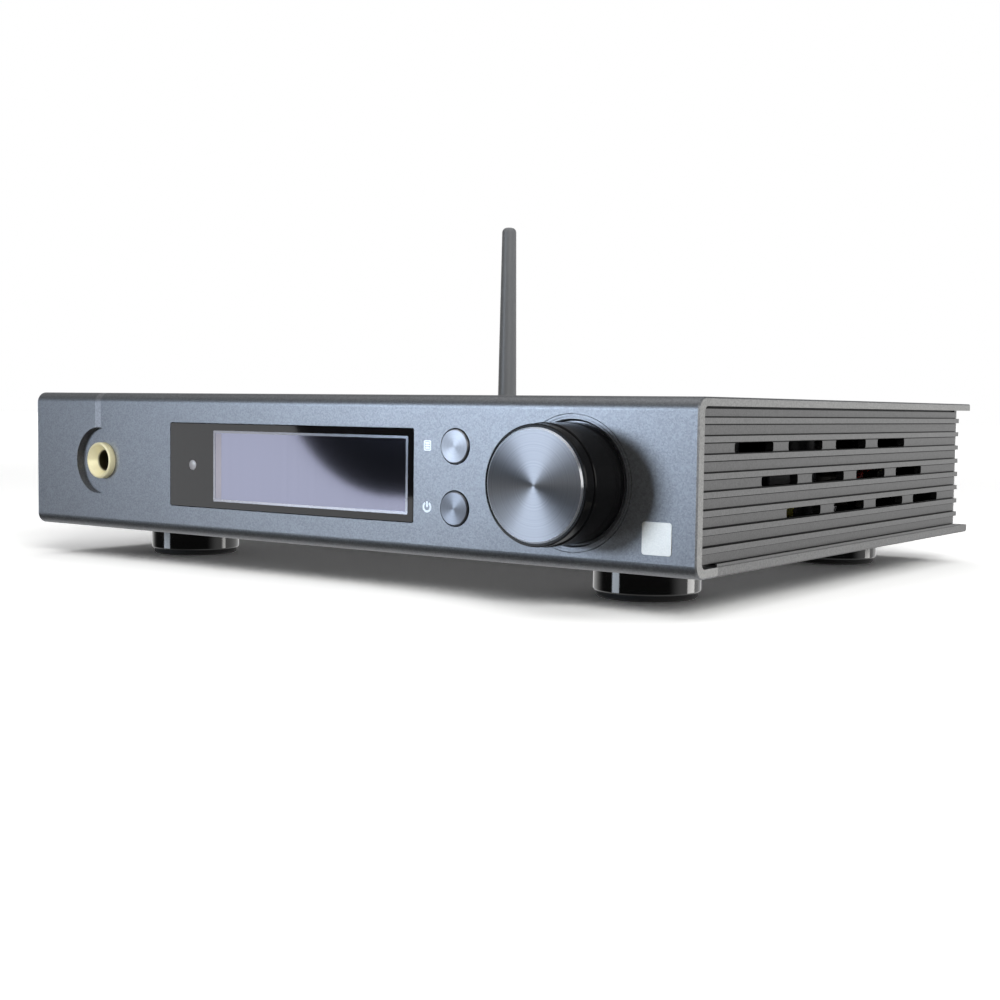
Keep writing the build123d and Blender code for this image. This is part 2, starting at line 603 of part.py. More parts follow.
with BuildPart() as knob_trim_ring:
    # a ring let into the panel, with one fine groove and a sloping inner edge
    with BuildSketch(Plane.XY.offset(MID)):
        with BuildLine():
            Polyline(
                (KNOB_X + KNOB_RECESS_R - 0.2, FRONT + KNOB_RECESS_D),
                (KNOB_X + KNOB_RECESS_R - 0.2, FRONT),
                (KNOB_X + KNOB_RECESS_R - 0.8, FRONT),
                (KNOB_X + KNOB_RECESS_R - 0.8, FRONT + 0.3),
                (KNOB_X + KNOB_RECESS_R - 1.0, FRONT + 0.3),
                (KNOB_X + KNOB_RECESS_R - 1.0, FRONT),
                (KNOB_X + KNOB_R + 0.9, FRONT),
                (KNOB_X + KNOB_R + 0.4, FRONT + 0.5),
                (KNOB_X + KNOB_R + 0.4, FRONT + KNOB_RECESS_D),
                close=True,
            )
        make_face()
    revolve(axis=Axis((KNOB_X, 0, MID), (0, 1, 0)))
save(knob_trim_ring, "knob_trim_ring")

with BuildPart() as knob_body:
    # turned body: a seat for the cap, a head behind a fine groove, a hollow back and a bored hub
    head_end = KNOB_FRONT + CAP_PROUD + HEAD_L
    with BuildSketch(Plane.XY.offset(MID)):
        with BuildLine():
            Polyline(
                (KNOB_X, KNOB_FRONT + CAP_PROUD + CAP_SEAT),
                (KNOB_X + CAP_R + 0.02, KNOB_FRONT + CAP_PROUD + CAP_SEAT),
                (KNOB_X + CAP_R + 0.02, KNOB_FRONT + CAP_PROUD),
                (KNOB_X + HEAD_R - 0.3, KNOB_FRONT + CAP_PROUD),
                (KNOB_X + HEAD_R, KNOB_FRONT + CAP_PROUD + 0.3),
                (KNOB_X + HEAD_R, head_end),
                (KNOB_X + HEAD_R - 0.5, head_end),
                (KNOB_X + HEAD_R - 0.5, head_end + 0.5),
                (KNOB_X + KNOB_R - 0.2, head_end + 0.5),
                (KNOB_X + KNOB_R, head_end + 0.7),
                (KNOB_X + KNOB_R, FRONT + 0.2),
                (KNOB_X + 9.0, FRONT + 0.2),
                (KNOB_X + 9.0, FRONT - 5.5),
                (KNOB_X + SHAFT_R + 0.02, FRONT - 5.5),
                (KNOB_X + SHAFT_R + 0.02, FRONT - 14.1),
                (KNOB_X, FRONT - 14.1),
                close=True,
            )
        make_face()
    revolve(axis=Axis((KNOB_X, 0, MID), (0, 1, 0)))
    # the set screw's threaded hole, on the underside
    with BuildSketch(Plane.XY.offset(MID - SHAFT_R + 0.7)):
        with Locations((KNOB_X, FRONT - 10.0)):
            Circle(1.5)
    extrude(amount=-20, mode=Mode.SUBTRACT)
save(knob_body, "knob_body")

with BuildPart() as knob_cap:
    with BuildSketch(Plane.XY.offset(MID)):
        with BuildLine():
            Polyline(
                (KNOB_X, KNOB_FRONT),
                (KNOB_X + CAP_R - 0.45, KNOB_FRONT),
                (KNOB_X + CAP_R, KNOB_FRONT + CAP_PROUD),
                (KNOB_X + CAP_R, KNOB_FRONT + CAP_PROUD + CAP_SEAT),
                (KNOB_X, KNOB_FRONT + CAP_PROUD + CAP_SEAT),
                close=True,
            )
        make_face()
    revolve(axis=Axis((KNOB_X, 0, MID), (0, 1, 0)))
save(knob_cap, "knob_cap")

with BuildPart() as knob_set_screw:
    with BuildSketch(Plane.XY.offset(MID - SHAFT_R + 0.65)):
        with Locations((KNOB_X, FRONT - 10.0)):
            Circle(1.45)
    extrude(amount=-6.0)
    with BuildSketch(Plane.XY.offset(MID - SHAFT_R + 0.65 - 6.0)):
        with Locations((KNOB_X, FRONT - 10.0)):
            RegularPolygon(0.8, 6)
    extrude(amount=1.5, mode=Mode.SUBTRACT)
save(knob_set_screw, "knob_set_screw")


# ---------------------------------------------------------------- circuit boards
def board(x0, x1, y0, y1, holes):
    with BuildPart() as made:
        box(x0, x1, y0, y1, BOARD_Z, BOARD_TOP)
        with BuildSketch(Plane.XY.offset(BOARD_Z)):
            with Locations(*holes):
                Circle(1.6)
        extrude(amount=BOARD_T, mode=Mode.SUBTRACT)
    return made


save(board(28, 112, -62, 58, BOARD_HOLES["power_supply"]), "power_supply_board")
save(board(-62, 20, -66, 14, BOARD_HOLES["amplifier"]), "amplifier_board")
save(board(-113, 14, 22, 87, BOARD_HOLES["main"]), "main_board")

with BuildPart() as power_transformer:
    # ferrite core round a wound bobbin
    box(60, 84, -22, 12, BOARD_TOP + 2, BOARD_TOP + 26)
    fillet(edges().filter_by(Axis.Z), 1.5)
    box(62, 82, -27, 17, BOARD_TOP, BOARD_TOP + 2)
    box(64, 80, -25, 15, BOARD_TOP + 2, BOARD_TOP + 22)
save(power_transformer, "power_transformer")

with BuildPart() as suppression_capacitor:
    box(98, 111, -24, -6, BOARD_TOP, BOARD_TOP + 15)
    fillet(edges().filter_by(Axis.Z), 0.8)
save(suppression_capacitor, "suppression_capacitor")

# name of each can group: (radius, height, spots)
CANS = (
    (10.0, 28.0, ((99.0, 12.0), (99.0, -42.0))),
    (6.25, 25.0, ((46.0, -40.0), (46.0, -24.0), (46.0, -8.0), (46.0, 8.0))),
    (8.0, 25.0, ((-48.0, -56.0), (-28.0, -56.0))),
    (4.0, 11.0, ((-100.0, 40.0), (-90.0, 40.0), (-60.0, 34.0), (-50.0, 34.0), (-16.0, 62.0))),
)

with BuildPart() as capacitors:
    for radius, height, spots in CANS:
        with BuildSketch(Plane.XY.offset(BOARD_TOP)):
            with Locations(*spots):
                Circle(radius)
        extrude(amount=height)
    fillet(edges().filter_by(GeomType.CIRCLE).filter_by(lambda e: e.arc_center.Z > BOARD_TOP + 5), 0.6)
save(capacitors, "capacitors")

with BuildPart() as inductors:
    # mains choke: a wound ring
    with BuildSketch(Plane.XY.offset(BOARD_TOP)):
        with Locations((98, 40)):
            Circle(10.5)
            Circle(4.5, mode=Mode.SUBTRACT)
    extrude(amount=12)
    fillet(edges().filter_by(GeomType.CIRCLE), 2.0)
    # four shielded output coils
    for i in range(4):
        x = -44 + 15.5 * i
        box(x - 6, x + 6, -12, 0, BOARD_TOP, BOARD_TOP + 11)
save(inductors, "inductors")


def finned_block(x0, x1, y0, y1, z0, z1, base_t, fins):
    """A heat sink with a base under upright fins that run along X."""
    box(x0, x1, y0, y1, z0, z0 + base_t)
    pitch = (y1 - y0 - 1.5) / (fins - 1)
    for i in range(fins):
        y = y0 + i * pitch
        box(x0, x1, y, y + 1.5, z0, z1)


CHIP_T = 1.6
with BuildPart() as heatsinks:
    finned_block(-50, 8, -42, -20, BOARD_TOP + CHIP_T, BOARD_TOP + 19, 3.0, 7)
    finned_block(62, 84, 24, 50, BOARD_TOP + CHIP_T, BOARD_TOP + 24, 3.0, 6)
    finned_block(58, 80, -56, -34, BOARD_TOP + CHIP_T, BOARD_TOP + 24, 3.0, 5)
save(heatsinks, "heatsinks")

# each chip: centre x, centre y, width, depth
CHIPS = (
    (-36, -31, 18, 14), (-6, -31, 18, 14), (73, 37, 12, 10), (69, -45, 12, 10),
    (-38, 46, 14, 14), (-74, 36, 10, 10), (-4, 44, 12, 8), (-56, 60, 8, 6), (-100, 62, 9, 7),
)
with BuildPart() as integrated_circuits:
    for x, y, w, d in CHIPS:
        box(x - w / 2, x + w / 2, y - d / 2, y + d / 2, BOARD_TOP, BOARD_TOP + CHIP_T)
save(integrated_circuits, "integrated_circuits")

with BuildPart() as wireless_module:
    box(-92, -70, 48, 64, BOARD_TOP, BOARD_TOP + 0.8)
    box(-91, -74, 49, 63, BOARD_TOP + 0.8, BOARD_TOP + 3.0)
save(wireless_module, "wireless_module")

# ---------------------------------------------------------------- mains inlet with its rocker switch
INLET_FLANGE_T, INLET_BACK = 2.4, PANEL_OUT - 22.0
INLET_FACE = PANEL_OUT + INLET_FLANGE_T
CAVITY_W, CAVITY_H, CAVITY_D = 24.2, 16.8, 17.0
ROCKER_HALF_H, ROCKER_HALF_W = 8.0, 5.7
APERTURE_HALF_H, APERTURE_HALF_W = 9.5, 6.0

with BuildPart() as mains_inlet:
    box(
        INLET_X - INLET_W / 2, INLET_X + INLET_W / 2, PANEL_OUT, INLET_FACE,
        INLET_Z - INLET_H / 2, INLET_Z + INLET_H / 2,
    )
    fillet(edges().filter_by(Axis.Y), 2.0)
    chamfer(faces().sort_by(Axis.Y)[-1].edges(), 0.5)
    box(
        INLET_X - INLET_W / 2 + 1.5, INLET_X + INLET_W / 2 - 1.5, INLET_BACK, PANEL_OUT,
        INLET_Z - INLET_H / 2 + 2, INLET_Z + INLET_H / 2 - 2,
    )
    # the socket's cavity, with its two clipped corners
    with BuildSketch(rearward(INLET_FACE)):
        with Locations((-SOCKET_X, INLET_Z)):
            Rectangle(CAVITY_W, CAVITY_H)
        chamfer(vertices().sort_by(Axis.Y)[-2:], 4.0)
    extrude(amount=-CAVITY_D, mode=Mode.SUBTRACT)
    # the switch's well, with trunnion holes in its side walls
    with BuildSketch(rearward(INLET_FACE)):
        with Locations((-SWITCH_X, INLET_Z)):
            Rectangle(2 * APERTURE_HALF_W, 2 * APERTURE_HALF_H)
    extrude(amount=-(INLET_FACE - ROCKER_PIVOT_Y + 8.0), mode=Mode.SUBTRACT)
    with BuildSketch(Plane.YZ.offset(SWITCH_X)):
        with Locations((ROCKER_PIVOT_Y, INLET_Z)):
            Circle(1.3)
    extrude(amount=APERTURE_HALF_W + 1.0, both=True, mode=Mode.SUBTRACT)
save(mains_inlet, "mains_inlet")

with BuildPart() as mains_inlet_pins:
    for dx, dz in ((-7.0, 2.0), (7.0, 2.0), (0.0, 6.0)):
        x, z = SOCKET_X + dx, INLET_Z - 4.0 + dz
        box(x - 1, x + 1, INLET_FACE - CAVITY_D, INLET_FACE - 2.5, z - 2, z + 2)
        chamfer(faces().sort_by(Axis.Y)[-1].edges(), 0.4)
    for dx in (-7.0, 0.0, 7.0):
        x = SOCKET_X + dx
        box(x - 2.4, x + 2.4, INLET_BACK - 8.0, INLET_BACK, INLET_Z - 0.4, INLET_Z + 0.4)
save(mains_inlet_pins, "mains_inlet_pins")


def tilted(angle):
    """The plane across the rocker, turned about the pivot, with its first axis out of the panel."""
    a = radians(angle)
    return Plane(origin=(SWITCH_X, ROCKER_PIVOT_Y, INLET_Z), x_dir=(0, cos(a), sin(a)), z_dir=(1, 0, 0))


with BuildPart() as mains_rocker:
    with BuildSketch(tilted(-ROCKER_TILT)):
        with BuildLine():
            Polyline(
                (-3.0, -6.0),
                (-3.0, 6.0),
                (4.5, ROCKER_HALF_H),
                (3.1, 0.0),
                (4.5, -ROCKER_HALF_H),
                close=True,
            )
        make_face()
        fillet([vertices().sort_by(Axis.Y)[0], vertices().sort_by(Axis.Y)[-1]], 0.6)
    extrude(amount=ROCKER_HALF_W, both=True)
    with BuildSketch(tilted(0)):
        Circle(1.2)
    extrude(amount=APERTURE_HALF_W + 0.8, both=True)
save(mains_rocker, "mains_rocker")

# ---------------------------------------------------------------- signal sockets
LINE_END, LINE_BACK, LINE_NECK = PANEL_OUT + 9.0, PANEL_IN - 12.0, PANEL_IN - 1.5

with BuildPart() as line_sockets:
    # plated barrels, each with a flange against the panel
    with BuildSketch(rearward(LINE_NECK)):
        with Locations(*((-x, LINE_Z) for x in LINE_XS)):
            Circle(LINE_R)
    extrude(amount=LINE_END - LINE_NECK)
    with BuildSketch(PANEL_PLANE):
        with Locations(*((-x, LINE_Z) for x in LINE_XS)):
            Circle(5.3)
    extrude(amount=1.4)
    with BuildSketch(rearward(LINE_NECK)):
        with Locations(*((-x, LINE_Z) for x in LINE_XS)):
            Circle(3.2)
    extrude(amount=LINE_END - LINE_NECK, mode=Mode.SUBTRACT)
    chamfer(edges().filter_by(GeomType.CIRCLE).group_by(Axis.Y)[-1].sort_by(SortBy.RADIUS)[-5:], 0.3)
save(line_sockets, "line_sockets")

with BuildPart() as line_socket_bodies:
    for x in LINE_XS:
        box(x - 5, x + 5, LINE_BACK, LINE_NECK, BOARD_TOP, BOARD_TOP + 12)
    with BuildSketch(rearward(LINE_NECK)):
        with Locations(*((-x, LINE_Z) for x in LINE_XS)):
            Circle(3.15)
    extrude(amount=LINE_END - LINE_NECK - 0.8)
    with BuildSketch(rearward(LINE_END)):
        with Locations(*((-x, LINE_Z) for x in LINE_XS)):
            Circle(1.7)
    extrude(amount=-(LINE_END - LINE_NECK + 2.0), mode=Mode.SUBTRACT)
save(line_socket_bodies, "line_socket_bodies")

with BuildPart() as usb_socket:
    z = BOARD_TOP + 5.6
    box(USB_X - 6, USB_X + 6, PANEL_OUT - 15.5, PANEL_OUT + 1.0, BOARD_TOP, z + 5.4)
    with BuildSketch(rearward(PANEL_OUT + 1.0)):
        with Locations((-USB_X, z)):
            Rectangle(8.5, 7.8)
        chamfer(vertices().sort_by(Axis.Y)[-2:], 1.6)
        with Locations((-USB_X, z)):
            Rectangle(5.6, 3.2, mode=Mode.SUBTRACT)
    extrude(amount=-9.5, mode=Mode.SUBTRACT)
save(usb_socket, "usb_socket")

with BuildPart() as optical_socket:
    z = BOARD_TOP + 5.2
    box(OPTICAL_X - 4.85, OPTICAL_X + 4.85, PANEL_OUT - 14.0, PANEL_OUT + 1.0, BOARD_TOP, z + 5.0)
    with BuildSketch(rearward(PANEL_OUT + 1.0)):
        with Locations((-OPTICAL_X, z)):
            Rectangle(6.4, 6.4)
        chamfer(vertices().sort_by(Axis.Y)[-2:], 1.2)
    extrude(amount=-9.0, mode=Mode.SUBTRACT)
save(optical_socket, "optical_socket")

# ---------------------------------------------------------------- speaker terminals
with BuildPart() as speaker_posts:
    # threaded cores with a banana-plug bore, a wire hole and a nut inside the panel
    with BuildSketch(rearward(PANEL_IN - 12.0)):
        with Locations(*((-x, POST_Z) for x in POST_XS)):
            Circle(POST_R)
    extrude(amount=POST_END - PANEL_IN + 12.0)
    with BuildSketch(rearward(POST_END)):
        with Locations(*((-x, POST_Z) for x in POST_XS)):
            Circle(POST_BORE_R)
    extrude(amount=-12.5, mode=Mode.SUBTRACT)
    for x in POST_XS:
        with BuildSketch(Plane.XY.offset(POST_Z)):
            with Locations((x, POST_CAP_Y + 1.9)):
                Circle(1.1)
        extrude(amount=POST_R + 1, both=True, mode=Mode.SUBTRACT)
    with BuildSketch(rearward(PANEL_IN - 2.0)):
        with Locations(*((-x, POST_Z) for x in POST_XS)):
            RegularPolygon(5.0, 6)
    extrude(amount=-2.5)
save(speaker_posts, "speaker_posts")

with BuildPart() as speaker_post_collars:
    with BuildSketch(rearward(PANEL_IN - 2.0)):
        with Locations(*((-x, POST_Z) for x in POST_XS)):
            Circle(5.8)
    extrude(amount=2.0)
    with BuildSketch(rearward(PANEL_IN)):
        with Locations(*((-x, POST_Z) for x in POST_XS)):
            Circle(4.0)
    extrude(amount=PANEL_T)
    with BuildSketch(PANEL_PLANE):
        with Locations(*((-x, POST_Z) for x in POST_XS)):
            Circle(6.4)
    extrude(amount=3.5)
    with BuildSketch(rearward(PANEL_IN - 2.0)):
        with Locations(*((-x, POST_Z) for x in POST_XS)):
            Circle(POST_R + 0.05)
    extrude(amount=PANEL_T + 5.5, mode=Mode.SUBTRACT)
save(speaker_post_collars, "speaker_post_collars")


def speaker_cap(x):
    """A fluted hand nut with the banana plug's way in at its end."""
    with BuildPart() as cap:
        with BuildSketch(rearward(POST_CAP_Y)):
            with Locations((-x, POST_Z)):
                Circle(POST_CAP_R)
                with PolarLocations(POST_CAP_R + 0.55, 12):
                    Circle(1.0, mode=Mode.SUBTRACT)
        extrude(amount=POST_CAP_L)
        with BuildSketch(rearward(POST_CAP_Y)):
            with Locations((-x, POST_Z)):
                Circle(POST_CAP_R)
        extrude(amount=3.0)
        with BuildSketch(rearward(POST_CAP_Y)):
            with Locations((-x, POST_Z)):
                Circle(POST_R + 0.1)
        extrude(amount=POST_CAP_L, mode=Mode.SUBTRACT)
    return cap


for number, post_x in enumerate(POST_XS, 1):
    save(speaker_cap(post_x), f"speaker_cap_{number}")

# ---------------------------------------------------------------- antenna
SOCKET_THREAD_R, SOCKET_END = 3.1, PANEL_OUT + 9.0
CONNECTOR_Y, YOKE_Y = PANEL_OUT + 2.8, HINGE_Y - 8.6
EAR_IN = 2.6

with BuildPart() as antenna_socket:
    with BuildSketch(rearward(PANEL_IN - 3.0)):
        with Locations((-ANTENNA_X, ANTENNA_Z)):
            Circle(SOCKET_THREAD_R)
    extrude(amount=SOCKET_END - PANEL_IN + 3.0)
    with BuildSketch(rearward(PANEL_IN)):
        with Locations((-ANTENNA_X, ANTENNA_Z)):
            RegularPolygon(4.6, 6)
    extrude(amount=-2.5)
    with BuildSketch(PANEL_PLANE):
        with Locations((-ANTENNA_X, ANTENNA_Z)):
            RegularPolygon(5.2, 6)
    extrude(amount=2.2)
save(antenna_socket, "antenna_socket")

with BuildPart() as antenna_connector:
    with BuildSketch(rearward(CONNECTOR_Y)):
        with Locations((-ANTENNA_X, ANTENNA_Z)):
            Circle(4.6)
            with PolarLocations(4.75, 24):
                Circle(0.35, mode=Mode.SUBTRACT)
    extrude(amount=YOKE_Y - CONNECTOR_Y)
    with BuildSketch(rearward(CONNECTOR_Y)):
        with Locations((-ANTENNA_X, ANTENNA_Z)):
            Circle(SOCKET_THREAD_R + 0.08)
    extrude(amount=SOCKET_END - CONNECTOR_Y + 0.2, mode=Mode.SUBTRACT)
save(antenna_connector, "antenna_connector")

with BuildPart() as antenna_knuckle:
    # a round base, two ears and the hinge pin between them
    with BuildSketch(rearward(YOKE_Y)):
        with Locations((-ANTENNA_X, ANTENNA_Z)):
            Circle(KNUCKLE_R)
    extrude(amount=HINGE_Y - YOKE_Y)
    with BuildSketch(Plane.YZ.offset(ANTENNA_X)):
        with Locations((HINGE_Y, ANTENNA_Z)):
            Circle(KNUCKLE_R)
    extrude(amount=4.6, both=True)
    with BuildSketch(Plane.YZ.offset(ANTENNA_X)):
        with Locations((HINGE_Y + 5.0, ANTENNA_Z)):
            Rectangle(20.0, 14.0)
    extrude(amount=EAR_IN, both=True, mode=Mode.SUBTRACT)
    with BuildSketch(Plane.YZ.offset(ANTENNA_X)):
        with Locations((HINGE_Y, ANTENNA_Z)):
            Circle(1.2)
    extrude(amount=4.4, both=True)
save(antenna_knuckle, "antenna_knuckle")

MAST_LOW = ANTENNA_Z + 5.8
with BuildPart() as antenna_sheath:
    # tongue in the knuckle
    with BuildSketch(Plane.YZ.offset(ANTENNA_X)):
        with Locations((HINGE_Y, ANTENNA_Z)):
            Circle(4.4)
        with Locations((HINGE_Y, ANTENNA_Z + 3.2)):
            Rectangle(8.0, 6.4)
    extrude(amount=EAR_IN - 0.15, both=True)
    # tapering mast with a rounded tip
    with BuildSketch(Plane.XZ.offset(-HINGE_Y)):
        with BuildLine():
            Polyline(
                (ANTENNA_X, MAST_LOW),
                (ANTENNA_X + 4.7, MAST_LOW),
                (ANTENNA_X + 4.7, MAST_LOW + 4.5),
                (ANTENNA_X + 4.1, MAST_LOW + 6.5),
                (ANTENNA_X + 3.1, ANTENNA_TIP_Z),
                (ANTENNA_X, ANTENNA_TIP_Z),
                close=True,
            )
        make_face()
        fillet(vertices().sort_by(Axis.Y)[-2:].sort_by(Axis.X)[-1], 2.2)
    revolve(axis=Axis((ANTENNA_X, HINGE_Y, 0), (0, 0, 1)))
    with BuildSketch(Plane.YZ.offset(ANTENNA_X)):
        with Locations((HINGE_Y, ANTENNA_Z)):
            Circle(1.3)
    extrude(amount=8.0, both=True, mode=Mode.SUBTRACT)
save(antenna_sheath, "antenna_sheath")


# ---------------------------------------------------------------- wiring
def wire(points, bend, radius):
    """A wire along straight runs joined by arcs of one bend radius."""
    with BuildLine() as route:
        FilletPolyline(*points, radius=bend)
    with BuildSketch(Plane(origin=route.line @ 0, z_dir=route.line % 0)) as section:
        Circle(radius)
    sweep(section.sketch, path=route.line)


with BuildPart() as mains_wiring:
    for i, dx in enumerate((-7.0, 0.0, 7.0)):
        x = SOCKET_X + dx
        y_tab = INLET_BACK - 8.0
        drop_y = y_tab - 6.0
        wire([(x, y_tab, INLET_Z), (x, drop_y, INLET_Z), (x, drop_y, BOARD_TOP)], 3.0, 1.1)
save(mains_wiring, "mains_wiring")

with BuildPart() as speaker_wiring:
    for i, x in enumerate(POST_XS):
        tail_y = PANEL_IN - 12.0
        end_x = -44 + 15.5 * i
        wire(
            [
                (x, tail_y, POST_Z),
                (x, tail_y - 10.0 - 3.5 * i, POST_Z),
                (x, tail_y - 10.0 - 3.5 * i, POST_Z + 9.0),
                (end_x, 6.0, POST_Z + 9.0),
                (end_x, 6.0, BOARD_TOP),
            ],
            3.0, 1.0,
        )
save(speaker_wiring, "speaker_wiring")

with BuildPart() as ribbon_cable:
    # flat cable from the front board's back to the main board, folded twice
    with BuildSketch(Plane.YZ.offset(-71)):
        with BuildLine():
            FilletPolyline(
                (FRONT_BOARD_Y + BOARD_T, MID + 6),
                (FRONT_BOARD_Y + 8, MID + 6),
                (FRONT_BOARD_Y + 14, MID + 2),
                (24, MID + 2),
                (28, MID - 4),
                (28, BOARD_TOP),
                radius=1.5,
            )
        trace(line_width=0.9)
    extrude(amount=14)
save(ribbon_cable, "ribbon_cable")
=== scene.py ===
"""Looks for the integrated amplifier: a material for every CAD node, the thin pieces that lie on its surfaces,
a white studio and the camera. Metres, in the CAD frame: +X right, +Y to the rear, +Z up."""

import math

import bmesh
import bpy
from mathutils import Matrix, Vector


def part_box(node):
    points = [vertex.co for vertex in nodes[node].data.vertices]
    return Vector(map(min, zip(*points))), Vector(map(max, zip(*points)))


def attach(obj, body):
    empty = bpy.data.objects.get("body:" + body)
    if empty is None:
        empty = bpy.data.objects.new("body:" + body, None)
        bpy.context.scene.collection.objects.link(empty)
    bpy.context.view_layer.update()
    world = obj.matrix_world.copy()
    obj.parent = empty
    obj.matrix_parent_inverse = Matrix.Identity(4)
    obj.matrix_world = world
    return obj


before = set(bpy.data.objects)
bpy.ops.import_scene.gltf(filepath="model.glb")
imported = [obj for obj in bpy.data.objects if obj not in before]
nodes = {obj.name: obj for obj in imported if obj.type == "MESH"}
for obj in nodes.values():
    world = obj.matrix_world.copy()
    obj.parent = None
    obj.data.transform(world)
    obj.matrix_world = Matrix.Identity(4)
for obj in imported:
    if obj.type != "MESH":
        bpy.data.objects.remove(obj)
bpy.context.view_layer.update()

MM = 0.001
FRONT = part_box("wrap_cover")[0][1]
WINDOW_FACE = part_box("display_window")[0][1]

# the side panels' fins, as the CAD has them, and how far the painted shade at a fin's root and the painted shadow in
# the top gap reach
TOP_FIN_Z, FIN_PITCH, FIN_HALF = 49.6 * MM, 4.6 * MM, 0.75 * MM
FIN_TIP_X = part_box("right_side_panel")[1][0]
GAP_Z, ROOT_SHADE = 52.55 * MM, 0.36 * MM


# ---------------------------------------------------------------- node helpers
class Nodes:
    """Short ways to add nodes to a tree. A value is a number, a tuple or another node's output."""

    def __init__(self, tree):
        self.tree = tree

    def set(self, node, socket, value):
        if isinstance(value, bpy.types.NodeSocket):
            self.tree.links.new(value, node.inputs[socket])
        else:
            node.inputs[socket].default_value = value

    def node(self, kind, out=0, props=None, **inputs):
        """An input is named, with _ for a space, or numbered, as in _0."""
        made = self.tree.nodes.new(kind)
        for key, value in (props or {}).items():
            setattr(made, key, value)
        for key, value in inputs.items():
            self.set(made, int(key[1:]) if key[0] == "_" else key.replace("_", " "), value)
        return made.outputs[out]

    def math(self, operation, a, b=0.0, clamp=False):
        return self.node("ShaderNodeMath", props={"operation": operation, "use_clamp": clamp}, _0=a, _1=b)

    def vector(self, operation, a, b):
        return self.node("ShaderNodeVectorMath", props={"operation": operation}, _0=a, _1=b)

    def length(self, vector):
        return self.node("ShaderNodeVectorMath", "Value", {"operation": "LENGTH"}, _0=vector)

    def axis(self, vector, name):
        return self.node("ShaderNodeSeparateXYZ", name, Vector=vector)

    def place(self, kind="Object"):
        return self.node("ShaderNodeTexCoord", kind)

    def coords(self, scale=(1.0, 1.0, 1.0)):
        return self.vector("MULTIPLY", self.place(), scale)

    def noise(self, vector, scale, detail=2.0):
        return self.node("ShaderNodeTexNoise", Vector=vector, Scale=scale, Detail=detail)

    def cells(self, scale):
        """A random value for each small cell, as in the grain of blasted metal."""
        color = self.node("ShaderNodeTexVoronoi", "Color", Vector=self.coords(), Scale=scale)
        return self.node("ShaderNodeSeparateColor", Color=color)

    def ramp(self, value, start, end, low, high, smooth=False):
        """Runs from low to high while the value runs from start to end."""
        kind = "SMOOTHSTEP" if smooth else "LINEAR"
        return self.node("ShaderNodeMapRange", props={"interpolation_type": kind},
                         Value=value, _1=start, _2=end, _3=low, _4=high)

    def span(self, value, low, high):
        """Stretches a value between 0 and 1 to run from low to high."""
        return self.ramp(value, 0.0, 1.0, low, high)

    def lerp(self, factor, a, b):
        return self.math("ADD", self.math("MULTIPLY", self.math("SUBTRACT", 1.0, factor), a),
                         self.math("MULTIPLY", factor, b))

    def mix(self, factor, a, b):
        return self.node("ShaderNodeMix", 2, {"data_type": "RGBA"}, _0=factor, _6=a, _7=b)


class Surface(Nodes):
    """A material with one Principled shader."""

    def __init__(self, name, color, metallic=0.0, roughness=0.5, **sockets):
        self.material = bpy.data.materials.new(name)
        self.material.use_nodes = True
        super().__init__(self.material.node_tree)
        self.shader = self.tree.nodes["Principled BSDF"]
        self.color = color
        sockets.update(Base_Color=(*color, 1.0), Metallic=metallic, Roughness=roughness)
        for key, value in sockets.items():
            self.shade(key.replace("_", " "), value)

    def shade(self, socket, value):
        self.set(self.shader, socket, value)

    def tint(self, factor, color=None):
        """The surface's colour, or another, times a factor that varies over the surface."""
        return self.node("ShaderNodeVectorMath", props={"operation": "SCALE"},
                         _0=self.color if color is None else color, Scale=factor)

    def bump(self, height, distance):
        self.shade("Normal", self.node("ShaderNodeBump", Height=height, Distance=distance))


# ---------------------------------------------------------------- kinds of material
DIE_LINES = {"x": (8.0, 900.0, 900.0), "y": (900.0, 8.0, 900.0)}
DIE_GRAIN = 2400.0


def blasted_metal(name, color, roughness, edge_color=None, grain=2600.0, depth=6e-6, tint=0.14):
    """Bead-blasted, anodised aluminium: a fine sparkling grain, and a plainer tone on the ends it is cut to."""
    s = Surface(name, color, 0.92, roughness)
    fine = s.cells(grain)
    cloud = s.noise(s.coords(), 35.0, 4.0)
    factor = s.math("MULTIPLY", s.span(fine, 1.0 - tint, 1.0 + tint), s.span(cloud, 0.96, 1.04))
    body = s.tint(factor)
    if edge_color:
        sideways = s.math("ABSOLUTE", s.axis(s.node("ShaderNodeNewGeometry", "True Normal"), "X"))
        body = s.mix(s.math("GREATER_THAN", sideways, 0.95), body, s.tint(factor, edge_color))
    s.shade("Base Color", body)
    s.shade("Roughness", s.span(cloud, roughness - 0.03, roughness + 0.03))
    s.bump(s.math("ADD", fine, s.noise(s.coords(), grain * 0.4)), depth)
    return s.material


def extruded(name, color, roughness, along, grain_spread, level=None):
    """Extruded and anodised aluminium: long faint die lines over a fine grain. Level, where given, paints shade into
    some places.
    """
    s = Surface(name, color, 1.0, roughness)
    lines = s.noise(s.coords(DIE_LINES[along]), 1.0, 3.0)
    fine = s.cells(DIE_GRAIN)
    factor = s.math("MULTIPLY", s.span(lines, 0.93, 1.07), s.span(fine, 1.0 - grain_spread, 1.0 + grain_spread))
    if level:
        # painted shade from the level, where one is given
        factor = s.math("MULTIPLY", factor, level(s))
    s.shade("Base Color", s.tint(factor))
    s.shade("Roughness", s.span(lines, roughness - 0.05, roughness + 0.05))
    s.bump(s.math("ADD", fine, lines), 5e-6)
    return s.material


def drawn_metal(name, color, roughness, along="y"):
    return extruded(name, color, roughness, along, 0.08)


